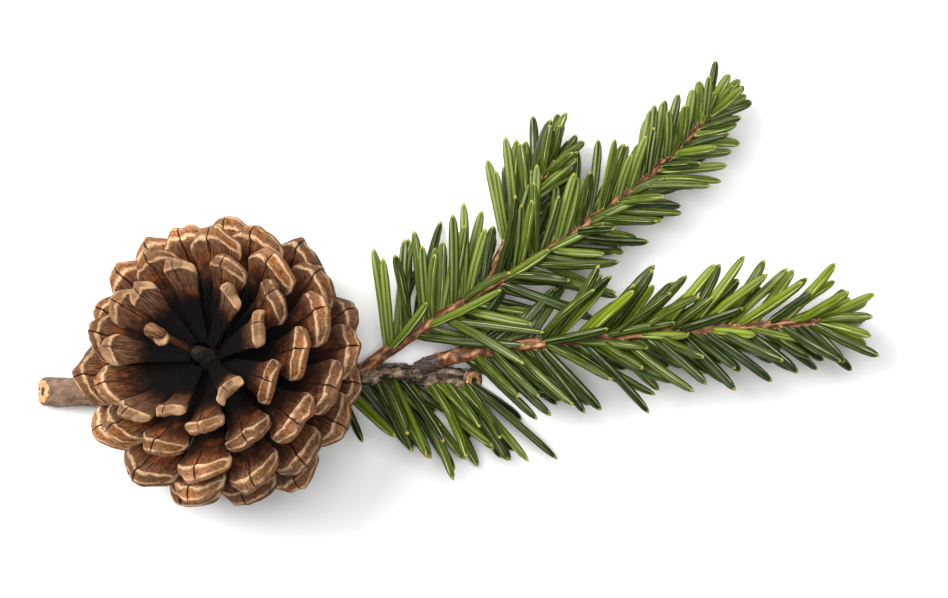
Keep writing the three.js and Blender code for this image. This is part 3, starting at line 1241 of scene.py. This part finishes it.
@dataclass
class NeedleMaker:
    """Models one needle and sets copies of it along the stems."""

    shape: NeedleShape = field(default_factory=NeedleShape)
    sway: float = 0.13
    peg_length: float = 1.0
    peg_radius: float = 0.6

    def __post_init__(self) -> None:
        """Models the needle and the peg that it stands on."""
        self.needle = self._model_needle()
        self.peg = self._model_peg()

    def _model_needle(self) -> bpy.types.Mesh:
        """A blade 1 long and 1 to each side, with a groove above, a midrib below and a round tip.

        Returns:
            Its mesh.
        """
        bench = Bench("needle")
        bench.disc(8)
        bench.pick(lambda co: abs(co.x) < 0.1 and co.y > 0.5)
        bench.shift(0.0, -0.5, 0.0)
        bench.pick(lambda co: 0.5 < abs(co.x) < 0.9 and co.y > 0.5)
        bench.stretch((0.66, 1.0, 1.0))
        bench.shift(0.0, 0.22, 0.0)
        bench.pick(lambda co: 0.5 < abs(co.x) < 0.9 and co.y < -0.5)
        bench.stretch((0.72, 1.0, 1.0))
        bench.pick(lambda co: True)
        bench.draw_out(self.shape.rings)
        return bench.done()

    def _model_peg(self) -> bpy.types.Mesh:
        """The small woody peg that a needle stands on, 1 long and 1 in radius.

        Returns:
            Its mesh.
        """
        bench = Bench("peg")
        bench.disc(6)
        bench.draw_out(((-0.6, 1.25), (0.3, 0.95), (0.8, 0.8), (1.0, 0.55)))
        return bench.done()

    def blade(self, needle: Needle, flipped: bool) -> bpy.types.Mesh:
        """One needle's own mesh.

        Args:
            needle: Where it stands.
            flipped: Its underside is turned up.

        Returns:
            Its mesh.
        """
        mesh = self.needle.copy()
        rows = places(mesh)
        across, height, along = rows[:, 0], rows[:, 1], rows[:, 2]
        side = needle.heading.cross(needle.face)
        turn = -1.0 if flipped else 1.0
        sway = self.sway * needle.length * (2 * chance(needle.seed + 5) - 1) * along**2
        sag = self.shape.bow * needle.length * 4 * along * (1 - along)
        width = self.shape.half_width * (0.90 + 0.2 * chance(needle.seed + 6))
        out = across * width * turn + sway
        rise = height * self.shape.half_thickness * turn + sag
        onward = (along * needle.length, needle.heading)
        set_places(mesh, spread_out(needle.base, onward, (out, side), (rise, needle.face)))
        set_vector(mesh, "grain", rows)
        set_value(mesh, "tone", needle.tone)
        return mesh

    def foot(self, needle: Needle, radius: float) -> bpy.types.Mesh:
        """The peg under one needle, out of the stem's skin.

        Args:
            needle: The needle.
            radius: How far out of the stem's line it starts.

        Returns:
            Its mesh.
        """
        mesh = self.peg.copy()
        rows = places(mesh)
        side = needle.heading.cross(needle.face)
        spots = spread_out(
            needle.base,
            (rows[:, 2] * self.peg_length + radius, needle.heading),
            (rows[:, 0] * self.peg_radius, side),
            (rows[:, 1] * self.peg_radius, needle.face),
        )
        set_places(mesh, spots)
        set_value(mesh, "relief", 0.5 + 0.6 * rows[:, 2])
        set_value(mesh, "along", needle.share)
        set_vector(mesh, "grain", rows + needle.seed)
        return mesh


@dataclass
class Sprig:
    """A young stem with its pegs, bud and needles."""

    branch: Branch
    needles: list[Needle]
    maker: NeedleMaker
    stem: StemFinish
    leaf: NeedleFinish
    sides: int = 20
    steps: int = 110
    bud_length: float = 2.8
    bud_radius: float = 1.0
    bud_sunk: float = 0.15
    slim: float = 0.84

    def build(self, bud_finish: bpy.types.Material) -> None:
        """Makes all the sprig's pieces.

        Args:
            bud_finish: The bud's material.
        """
        node, title = self.branch.node, self.branch.title
        skin = self.stem.make()
        put(self._stem(), f"{title}_stem", skin, "foliage", node)
        feet = [self.maker.foot(n, between(self.branch.radius, n.share) * 0.8) for n in self.needles]
        put(join(feet, "pegs"), f"{title}_leaf_cushions", skin, "foliage", node)
        put(self._bud(), f"{title}_bud", bud_finish, "foliage", node)
        green = self.leaf.make()
        for flank in Flank:
            chosen = [n for n in self.needles if n.flank is flank]
            if chosen:
                blades = [self.maker.blade(n, self._flipped(n)) for n in chosen]
                name = f"{title}_needles_{flank.value}"
                put(join(blades, "needles"), name, green, "foliage", node)

    def _flipped(self, needle: Needle) -> bool:
        """True for the needles that show their underside."""
        return needle.flank is Flank.LEFT and chance(needle.seed + 8) < self.branch.shown_below

    def _stem(self) -> bpy.types.Mesh:
        """The stem: a tube drawn out along its line, with ridges that wind around it.

        Returns:
            Its mesh.
        """
        mesh = rod("stem", self.sides, self.steps)
        rows = places(mesh)
        line = StemLine(self.branch.points)
        length = line.length()
        spots = np.empty_like(rows)
        relief = np.empty(len(rows))
        for i, (x, y, share) in enumerate(rows):
            station = line.at(share)
            angle = math.atan2(x, y)
            radius = between(self.branch.radius, share)
            wind = math.sin(5 * angle + share * length * 0.35) * 0.6
            wind += math.sin(-7 * angle + share * length * 0.5) * 0.4
            spot = Vector((x * 1.3, y * 1.3, share * length * 0.7))
            lumps = noise.fractal(spot, 1.0, 2.0, 4)
            raised = 0.5 + 0.22 * wind + 0.55 * lumps
            grown = radius * self.slim * (0.86 + 0.3 * raised)
            spots[i] = station.spot + station.right * (x * grown) + station.upward * (y * grown)
            relief[i] = raised
        set_places(mesh, spots)
        set_value(mesh, "relief", relief)
        set_value(mesh, "along", rows[:, 2])
        angles = np.arctan2(rows[:, 0], rows[:, 1])
        around = angles * np.mean(self.branch.radius)
        set_vector(mesh, "grain", np.column_stack([around, rows[:, 2] * length, rows[:, 1]]))
        return mesh

    def _bud(self) -> bpy.types.Mesh:
        """The bud at the stem's end, wrapped in pointed scales.

        Returns:
            Its mesh.
        """
        bench = Bench("bud")
        bench.disc(16)
        rings = [(0.0, 0.45), (0.12, 0.72), (0.26, 0.92), (0.42, 1.0), (0.6, 0.88), (0.78, 0.6)]
        bench.draw_out([*rings, (0.92, 0.3), (1.0, 0.0)])
        mesh = bench.done(2)
        rows = places(mesh)
        station = StemLine(self.branch.points).at(1.0)
        angle = np.arctan2(rows[:, 0], rows[:, 1])
        fold = np.abs(np.sin(2.5 * angle + 9.0 * rows[:, 2])) * np.sin(math.pi * rows[:, 2])
        spread = self.bud_radius * (1 + 0.16 * fold)
        spots = spread_out(
            station.spot,
            ((rows[:, 2] - self.bud_sunk) * self.bud_length, station.onward),
            (rows[:, 0] * spread, station.right),
            (rows[:, 1] * spread, station.upward),
        )
        set_places(mesh, spots)
        set_value(mesh, "relief", fold)
        return mesh


@dataclass
class Twig:
    """The old twig under the cone: rough bark, two cut ends and the needles at its far end."""

    branch: Branch
    needles: list[Needle]
    maker: NeedleMaker
    leaf: NeedleFinish
    sides: int = 44
    steps: int = 230
    slants: Pair = (0.45, -0.75)
    flat_sides: int = 9
    rough: float = 0.50
    wood_share: float = 0.78
    pith_share: float = 0.34
    wall: float = 0.35
    rim: Triple = (0.12, 0.9, 0.62)

    def build(self) -> None:
        """Makes the twig's pieces."""
        node = self.branch.node
        put(self._bark(), "twig_bark", BarkFinish().make(), "bark", node)
        wood = CutWoodFinish().make()
        put(self._cut_end(0.0), "twig_cut_end_left", wood, "bark", node)
        put(self._cut_end(1.0), "twig_cut_end_right", wood, "bark", node)
        blades = [self.maker.blade(n, False) for n in self.needles]
        put(join(blades, "needles"), "twig_needles", self.leaf.make(), "foliage", node)

    def _carry(self, rows: np.ndarray, rough: np.ndarray) -> np.ndarray:
        """Carries places on a straight rod of radius 1 and length 1 to the twig's own line.

        Args:
            rows: The places.
            rough: How far each stands out, as a share of the radius.

        Returns:
            The places on the twig.
        """
        line = StemLine(self.branch.points)
        flat = math.cos(math.pi / self.flat_sides)
        spots = np.empty_like(rows)
        for i, (x, y, share) in enumerate(rows):
            station = line.at(min(1.0, max(0.0, share)))
            radius = between(self.branch.radius, share)
            grown = radius * (1 + rough[i])
            end = self.slants[0] * (1 - smooth(share, 0.0, 0.02)) + self.slants[1] * smooth(share, 0.98, 1)
            spot = station.spot + station.right * (x * grown)
            spot += station.upward * (max(y * grown, -radius * flat) + radius * flat)
            spots[i] = spot + station.onward * (end * y * radius)
        return spots

    def _bark(self) -> bpy.types.Mesh:
        """The bark: a tube with plates and cracks, closed at both ends by a wall behind the wood.

        Returns:
            Its mesh.
        """
        mesh = rod("bark", self.sides, self.steps)
        rows = places(mesh)
        length = StemLine(self.branch.points).length()
        around = np.arctan2(rows[:, 0], rows[:, 1]) * self.branch.radius[1]
        scaled = np.column_stack([rows[:, 0] * 2.7, rows[:, 1] * 2.7, rows[:, 2] * length * 0.6])
        plates = roughness_at(scaled, 1.6, 3.0, 4)
        ridges = 1 - np.abs(roughness_at(scaled, 1.5, 11.0, 2)) * 2
        relief = np.clip(0.5 + 0.55 * plates + 0.25 * ridges, 0.0, 1.2)
        rougher = 1 + 1.3 * smooth(rows[:, 2], 0.60, 0.72)
        set_value(mesh, "along", rows[:, 2])
        set_places(mesh, self._carry(rows, (relief - 0.75) * self.rough * 0.5 * rougher))
        set_value(mesh, "relief", relief)
        set_vector(mesh, "grain", np.column_stack([around, rows[:, 2] * length, rows[:, 1]]))
        return mesh

    def _cut_end(self, share: float) -> bpy.types.Mesh:
        """The wood that shows at a cut end: a broken ring around the pith's hole.

        Args:
            share: 0 for the left end, 1 for the right.

        Returns:
            Its mesh.
        """
        bench = Bench("cut_end")
        bench.disc(40)
        depth = self.wall
        rise, outer, inner = self.rim
        bench.draw_out([(0.0, 1.0), (depth, 1.0), (depth + rise, outer), (depth + rise, inner)])
        bench.extrude(0.0, 0.0, -0.02)
        bench.stretch((self.pith_share / inner,) * 2 + (1.0,), (0.0, 0.0, depth + 0.1))
        bench.extrude(0.0, 0.0, -depth)
        bench.stretch((0.8, 0.8, 1.0), (0.0, 0.0, 0.12))
        mesh = bench.done(2)
        rows = places(mesh)
        out = np.hypot(rows[:, 0], rows[:, 1])
        broken = roughness_at(rows * 2.5, 1.1, 5.0 + share, 3)
        station = StemLine(self.branch.points).at(share)
        radius = between(self.branch.radius, share) * self.wood_share
        flat = between(self.branch.radius, share) * math.cos(math.pi / self.flat_sides)
        outward = 1.0 if share > 0.5 else -1.0
        slant = self.slants[1] if share > 0.5 else self.slants[0]
        reach = (rows[:, 2] - 0.18 + 0.45 * broken * smooth(out, 0.25, 0.7)) * 1.1 * outward
        up = rows[:, 1] * radius * (1 + 0.08 * broken)
        side = rows[:, 0] * radius * (1 + 0.08 * broken) * outward
        spots = spread_out(
            station.spot,
            (side, station.right),
            (up + flat, station.upward),
            (reach + slant * up, station.onward),
        )
        set_places(mesh, spots)
        set_value(mesh, "out", out)
        set_vector(mesh, "grain", rows * 2.5)
        return mesh


# ---- Cone ------------------------------------------------------------------------------------


@dataclass(frozen=True)
class ScalePlan:
    """One scale of the cone: its turn, root and tip as (out, height), width and order."""

    index: int
    turn: float
    root: Pair
    tip: Pair
    width: float
    size: float


@dataclass
class Cone:
    """The open pine cone: its scales in a golden spiral around a core."""

    place: ConePlace
    count: int = 55
    first_turn: float = 2.24
    polar: Pair = (27.0, 118.0)
    crowding: float = 1.35
    roots: Pair = (16.3, -0.24)
    bend: Pair = (0.52, 0.34)
    gap: float = 0.3
    widths: Pair = (5.2, 12.4)
    claw: float = 1.7
    thin: float = 0.55
    thick: float = 1.75
    core_heights: Pair = (-14.5, 11.5)
    core_radii: Pair = (4.6, 1.5)
    stalk_radius: float = 2.2
    basal: int = 13
    uneven: float = 1.8
    lowest: float = 0.1
    slim: float = 0.94
    basal_reach: float = 12.5
    basal_growth: Pair = (0.72, 1.05)
    basal_under_twig: float = 6.4
    basal_height: Pair = (-15.5, 0.12)
    basal_width: float = 6.5
    basal_droop: float = 0.5
    curl_sides: int = 10
    curl_steps: int = 26
    curl_straight: float = 0.45
    curl_turn: float = 2.1
    curl_foot: float = 10.5
    curl_rise: float = 12.0
    curl_aside: float = 2.6
    curl_coil: Pair = (1.65, 0.10)
    curl_radius: Pair = (0.70, 0.95)

    def build(self) -> None:
        """Makes the cone's pieces."""
        self.template = self._model_scale()
        self.frame = self.place.matrix()
        wood = ScaleFinish().make()
        for index in range(self.count):
            mesh = self._scale(self._plan(index))
            number = f"{index + 1:02d}"
            put(mesh, f"scale_{number}", wood, "cone_scale", f"cone_scale_{number}")
        dark = CoreFinish().make()
        put(self._core(), "cone_axis", dark, "cone_core", "cone_core")
        put(join(self._basal_scales(), "basal"), "basal_scales", wood, "cone_core", "cone_core")
        put(self._curl(), "apex_curl", wood, "cone_core", "cone_core")

    def _carried(self, local: np.ndarray) -> np.ndarray:
        """Places in the cone's own frame, carried to where the cone stands."""
        return local @ np.array(self.frame.to_3x3()).T + np.array(self.frame.translation)

    def _core_radius(self, height: float) -> float:
        """The core's radius at a height."""
        share = float(smooth(height, self.core_heights[0] + 4, self.core_heights[1]))
        return between(self.core_radii, share)

    def _plan(self, index: int) -> ScalePlan:
        """Where a scale of the spiral stands.

        Args:
            index: Its number, from 0 at the tip.

        Returns:
            Its plan.
        """
        share = ((index + 0.5) / self.count) ** self.crowding
        first, last = (math.cos(math.radians(degrees)) for degrees in self.polar)
        polar = math.acos(between((first, last), share))
        degrees = math.degrees(polar)
        height = self.roots[0] + self.roots[1] * degrees
        out = self._core_radius(height) + self.gap + self.thin * 0.7
        width = between(self.widths, float(smooth(degrees, 14, 68)))
        tip = (self.place.radius * math.sin(polar), self.place.rise * math.cos(polar))
        turn = self.first_turn + index * GOLDEN_TURN
        return ScalePlan(index, turn, (out, height), tip, width, width / self.widths[1])

    def _model_scale(self) -> bpy.types.Mesh:
        """A scale laid flat: 1 long along Y, 1 to each side along X, about 1 thick each way.

        Returns:
            Its mesh.
        """
        rows = (
            (0.16, 0.32, -0.32),
            (0.34, 0.33, -0.34),
            (0.52, 0.36, -0.38),
            (0.68, 0.42, -0.48),
            (0.79, 0.50, -0.66),
            (0.86, 0.60, -0.84),
            (0.895, 0.76, -0.94),
            (0.92, 1.00, -1.0),
            (0.942, 0.98, -1.0),
            (0.968, 0.66, -0.85),
            (0.988, 0.40, -0.6),
            (1.0, 0.10, -0.3),
        )
        start = 0.3
        bench = Bench("scale")
        bench.box((2.0, 0.08, 2 * start), (0.0, 0.04, 0.0))
        reached = 0.08
        for along, _, _ in rows:
            bench.pick(lambda co: co.y > reached - 0.005)
            bench.extrude(0.0, along - reached, 0.0)
            reached = along
        for across in (-0.93, -0.78, -0.55, -0.3, -0.1, -0.035, 0.0, 0.035, 0.1, 0.3, 0.55, 0.78, 0.93):
            bench.cut((across, 0.0, 0.0), (1.0, 0.0, 0.0))
        for along, top, bottom in rows:
            bench.pick(lambda co: abs(co.y - along) < 0.005 and co.z > 0)
            bench.shift(0.0, 0.0, top - start)
            bench.pick(lambda co: abs(co.y - along) < 0.005 and co.z < 0)
            bench.shift(0.0, 0.0, bottom + start)
        bench.pick(lambda co: abs(co.x) < 0.01 and co.z > 0 and co.y > 0.8)
        bench.shift(0.0, 0.0, -0.16)
        bench.pick(lambda co: abs(co.x) > 0.99)
        bench.stretch((1.0, 1.0, 0.55))
        return bench.done(1)

    def _scale(self, plan: ScalePlan, droop: float = 1.0) -> bpy.types.Mesh:
        """One scale's own mesh, bent from its root to its tip.

        Args:
            plan: Where it stands.
            droop: How far its sides hang.

        Returns:
            Its mesh.
        """
        mesh = self.template.copy()
        rows = places(mesh)
        across, along, height = rows[:, 0], rows[:, 1], rows[:, 2]
        seed = SCALE_SEEDS + ITEM_SEEDS * plan.index
        luck = [chance(seed + i) for i in range(8)]
        half = plan.width / 2
        stops = (0.0, 0.2, 0.45, 0.7, 0.88, 0.96, 1.0)
        claw = (self.claw * plan.size + 0.3) / half
        waist = 0.46 + 0.3 * (1 - plan.size)
        shares = (claw, claw * 1.3, waist * 1.05, 0.72, 1.0, 0.98, 0.80)
        widths = np.interp(along, stops, shares) * half * self.slim
        root = np.array(plan.root)
        tip = np.array(plan.tip) + (np.array(luck[4:6]) - 0.5) * self.uneven
        middle = root + (tip - root) * np.array(self.bend)
        length = np.linalg.norm(tip - root)
        pull = 0.62 * half / length * np.abs(across) ** 2.2 * smooth(along, 0.35, 0.95)
        rim = np.column_stack([across * 1.6, np.full(len(rows), plan.index * 5.3), height * 0.2])
        share = along - pull + 0.034 * roughness_at(rim, 1.0, 2.0, 2) * smooth(along, 0.8, 0.95)
        rest = (1 - share)[:, None]
        part = share[:, None]
        curve = root * rest**2 + middle * (2 * rest * part) + tip * part**2
        slope = (middle - root) * rest + (tip - middle) * part
        slope /= np.linalg.norm(slope, axis=1)[:, None]
        thick = self.thick * (0.30 + 0.70 * plan.size)
        plump = self.thin * 1.6 + (thick - self.thin * 1.6) * smooth(along, 0.45, 0.9)
        over = height * plump * (1 - 0.35 * np.abs(across) ** 3)
        over -= droop * (1.5 + 0.7 * luck[0]) * plan.size * across**2 * smooth(along, 0.25, 0.9)
        lumps = roughness_at(rows * (6.0, 20.0, 2.0), 4.0, plan.index * 3.7, 3)
        over += 0.16 * lumps * smooth(along, 0.2, 0.6)
        spread = np.column_stack([across * widths, along * length, height * 1.5])
        over += 0.30 * roughness_at(spread, 2.2, plan.index * 2.9, 3) * smooth(along, 0.82, 0.92)
        twist = (luck[1] - 0.5) * 0.28 * along
        sideways = across * widths * np.cos(twist) + (luck[2] - 0.5) * 0.8 * along**2
        over = over + across * widths * np.sin(twist)
        out = curve[:, 0] - slope[:, 1] * over
        up = curve[:, 1] + slope[:, 0] * over
        cos, sin = math.cos(plan.turn), math.sin(plan.turn)
        local = np.column_stack([cos * out + sin * sideways, sin * out - cos * sideways, up])
        spots = self._carried(local)
        spots[:, 2] = np.maximum(spots[:, 2], self.lowest)
        set_places(mesh, spots)
        set_value(mesh, "along", along)
        set_value(mesh, "across", across)
        set_value(mesh, "side", height)
        outward = self.frame.to_3x3() @ Vector((cos, sin, 0.0))
        # Each scale keeps a random tone, darkened on the cone's right side as painted shade.
        set_value(mesh, "tone", luck[3] * (1 - 0.55 * float(smooth(outward.x, 0.1, 0.9))))
        set_value(mesh, "pale", float(1 - smooth(plan.index, 3, 12)))
        set_vector(mesh, "grain", np.column_stack([across * widths, along * length, height * 0.5]))
        return mesh

    def _core(self) -> bpy.types.Mesh:
        """The core with its stalk, fibrous all round.

        Returns:
            Its mesh.
        """
        low, high = self.core_heights
        bench = Bench("core")
        bench.disc(32)
        heights = [low + (high - low) * i / 24 for i in range(25)]
        rings = [(self.place.stalk, self.stalk_radius), (low - 0.6, self.stalk_radius)]
        rings += [(height, self._core_radius(height)) for height in heights]
        bench.draw_out([*rings, (high + 3, 0.0)])
        mesh = bench.done(1)
        rows = places(mesh)
        lumps = roughness_at(rows, 1.4, 9.0, 3)
        swell = 1 + 0.10 * lumps
        local = np.column_stack([rows[:, 0] * swell, rows[:, 1] * swell, rows[:, 2]])
        set_places(mesh, self._carried(local))
        return mesh

    def _basal_scales(self) -> list[bpy.types.Mesh]:
        """The small closed scales around the stalk, shorter where the twig passes under them.

        Returns:
            Their meshes.
        """
        made = []
        for i in range(self.basal):
            turn = i * GOLDEN_TURN
            reach = self.basal_reach * between(self.basal_growth, i / self.basal)
            outward = self.frame.to_3x3() @ Vector((math.cos(turn), math.sin(turn), 0.0))
            if outward.z < 0:
                reach = min(reach, self.basal_under_twig)
            root = (self.stalk_radius, self.core_heights[0] + 0.4)
            tip = (reach, self.basal_height[0] + self.basal_height[1] * reach)
            size = self.basal_width / self.widths[1]
            plan = ScalePlan(60 + i, turn, root, tip, self.basal_width, size)
            made.append(self._scale(plan, self.basal_droop))
        return made

    def _curl(self) -> bpy.types.Mesh:
        """The shrivelled last scale at the tip, curled into a pale bead.

        Returns:
            Its mesh.
        """
        mesh = rod("curl", self.curl_sides, self.curl_steps, 1)
        rows = places(mesh)
        along = rows[:, 2]
        straight, aside = self.curl_straight, self.curl_aside
        rise = np.minimum(along, straight) / straight
        wound = np.clip((along - straight) / (1 - straight), 0.0, 1.0) * self.curl_turn * math.pi
        coil = self.curl_coil[0] - self.curl_coil[1] * wound
        radius = self.curl_radius[0] + self.curl_radius[1] * smooth(along, 0.35, 0.7)
        middle_x = np.where(along < straight, aside * (rise - 1), coil * (1 - np.cos(wound)) * 0.9)
        middle_z = self.curl_foot + rise * self.curl_rise + coil * np.sin(wound)
        middle_y = 0.35 * wound / math.pi
        side = rows[:, 0] * radius
        deep = rows[:, 1] * radius
        local = np.column_stack(
            [
                middle_x + side * np.cos(wound),
                middle_y + deep,
                middle_z - side * np.sin(wound),
            ]
        )
        local[:, 0] += aside
        turn = Matrix.Rotation(math.radians(self.place.towards), 3, "Z")
        local = local @ np.array(turn).T
        set_places(mesh, self._carried(local))
        set_value(mesh, "along", 0.55 + 0.45 * along)
        set_value(mesh, "across", rows[:, 0])
        set_value(mesh, "side", 1.0)
        set_value(mesh, "tone", 0.4)
        set_value(mesh, "pale", 1.0)
        set_vector(mesh, "grain", np.column_stack([rows[:, 0], along * 12.0, rows[:, 1]]))
        return mesh


# ---- Studio ----------------------------------------------------------------------------------


@dataclass(frozen=True)
class Lamp:
    """A soft square light that looks at the object."""

    name: str
    place: Triple
    size: float
    power: float
    colour: Colour = (1.0, 1.0, 1.0)

    def hang(self, target: Vector) -> None:
        """Adds the light to the scene.

        Args:
            target: What it looks at.
        """
        light = bpy.data.lights.new(self.name, "AREA")
        light.size = self.size
        light.energy = self.power
        light.color = self.colour
        lamp = bpy.data.objects.new(self.name, light)
        lamp.location = self.place
        lamp.rotation_euler = (target - lamp.location).to_track_quat("-Z", "Y").to_euler()
        bpy.context.scene.collection.objects.link(lamp)


@dataclass
class Studio:
    """A pale floor, soft light and a camera that looks straight down."""

    middle: Pair = (14.8, 15.4)
    view_width: float = 189.6
    distance: float = 1.5
    floor_size: float = 6.0
    floor_colour: Colour = (0.93, 0.93, 0.93)
    sky: float = 0.15
    lamps: tuple[Lamp, ...] = (
        Lamp("key", (-0.90, 0.60, 1.25), 1.0, 38.0, (1.0, 0.985, 0.96)),
        Lamp("top", (0.10, 0.15, 1.9), 1.2, 30.0, (0.98, 0.99, 1.0)),
    )

    def build(self) -> None:
        """Sets the scene up."""
        target = Vector((self.middle[0] * MM, self.middle[1] * MM, 0.01))
        for lamp in self.lamps:
            lamp.hang(target)
        self._floor()
        self._world()
        self._camera()

    def _floor(self) -> None:
        """A large pale floor with a finish of its own."""
        recipe = Recipe("studio_floor")
        paper = recipe.noise(recipe.place(), 900.0, 2.0)
        colour = recipe.blend(self.floor_colour, tuple(0.985 * c for c in self.floor_colour), paper)
        material = recipe.surface({"Base Color": colour, "Roughness": 0.9})
        let_go()
        bpy.ops.mesh.primitive_plane_add(size=self.floor_size)
        floor = bpy.context.object
        floor.name = "floor"
        floor.data.materials.append(material)
        floor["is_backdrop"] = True

    def _world(self) -> None:
        """Even pale light from all round."""
        world = bpy.data.worlds.new("studio")
        world.use_nodes = True
        background = world.node_tree.nodes["Background"]
        background.inputs["Color"].default_value = (1.0, 1.0, 1.0, 1.0)
        background.inputs["Strength"].default_value = self.sky
        bpy.context.scene.world = world

    def _camera(self) -> None:
        """The camera, straight above the middle of the branch."""
        data = bpy.data.cameras.new("camera")
        data.lens = data.sensor_width * self.distance / (self.view_width * MM)
        data.clip_end = 10.0
        camera = bpy.data.objects.new("camera", data)
        camera.location = (self.middle[0] * MM, self.middle[1] * MM, self.distance)
        bpy.context.scene.collection.objects.link(camera)
        bpy.context.scene.camera = camera
        bpy.context.scene.view_settings.view_transform = "Standard"


# ---- The object ------------------------------------------------------------------------------

BRANCHES = (
    Branch(
        "main_twig",
        "twig",
        ((-71, -3.1, 0), (-42, -3.6, 0), (-16, 2.2, 0), (14.6, -0.9, 0)),
        (3.0, 2.45),
        Growth(0.68, 0.985, 60, (62, 50), (21, 23), ((46, 104),), low=34),
    ),
    Branch(
        "upper_sprig",
        "upper",
        ((-9.5, -0.5, 2.6), (10, 16, 8), (42, 28, 8.5), (61.8, 52.6, 9.5)),
        (1.6, 0.85),
        Growth(0.1, 0.985, 132, (56, 34), (24, 12.5), ((48, 112), (-48, -112)), 16, 50, 9),
        0.6,
    ),
    Branch(
        "lower_sprig",
        "lower",
        ((4, 1.4, 2.5), (13, 7, 11), (48, 8.2, 15), (84, 11.2, 13)),
        (2.0, 0.9),
        Growth(0.12, 0.985, 118, (53, 38), (24, 15.5), ((42, 122), (-42, -122)), 10, 30, 9),
        # The lower sprig's right flank is darkened as painted shade.
        right_painted_shade=0.45,
    ),
    Branch(
        "side_sprig",
        "side",
        ((16.5, 16.9, 7.6), (19.5, 24, 4.5), (25, 34, 4.5), (30.2, 42.2, 6)),
        (1.1, 0.7),
        Growth(0.36, 0.985, 36, (36, 20), (21, 12), ((40, 105), (-40, -105)), 0, 9, 3),
        0.5,
    ),
)
# The four greens differ in brightness as painted light: the lower sprig's are made lighter, the twig's
# darker as painted shade.
LEAVES = {
    "main_twig": NeedleFinish("twig_green", (0.006, 0.012, 0.001), (0.100, 0.140, 0.006)),
    "upper_sprig": NeedleFinish("upper_green", (0.009, 0.020, 0.002), (0.145, 0.205, 0.016)),
    "lower_sprig": NeedleFinish("lower_green", (0.013, 0.027, 0.001), (0.200, 0.265, 0.009)),
    "side_sprig": NeedleFinish("side_green", (0.010, 0.022, 0.002), (0.145, 0.205, 0.016)),
}


def corners() -> list[list[float]]:
    """The shown object's lowest and highest corners, as plain lists."""
    return [[float(value) for value in corner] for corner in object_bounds()]


def main() -> None:
    """Builds the branch, the cone and the studio."""
    logging.basicConfig(level=logging.INFO, format="%(name)s: %(message)s")
    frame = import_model()
    log.info("frame: %d nodes", len(frame["nodes"]))
    place = ConePlace()
    grown = Foliage(BRANCHES, place, BRANCHES[0].radius[1]).grow()
    maker = NeedleMaker()
    bud = BudFinish().make()
    twig, *sprigs = BRANCHES
    Twig(twig, grown[twig.node], maker, LEAVES[twig.node]).build()
    for branch in sprigs:
        bark_end = 0.10 if branch.title == "lower" else 0.0
        stem = StemFinish(f"{branch.title}_stem_skin", bark_end=bark_end)
        Sprig(branch, grown[branch.node], maker, stem, LEAVES[branch.node]).build(bud)
    Cone(place).build()
    Studio().build()


if __name__ == "__main__":
    main()
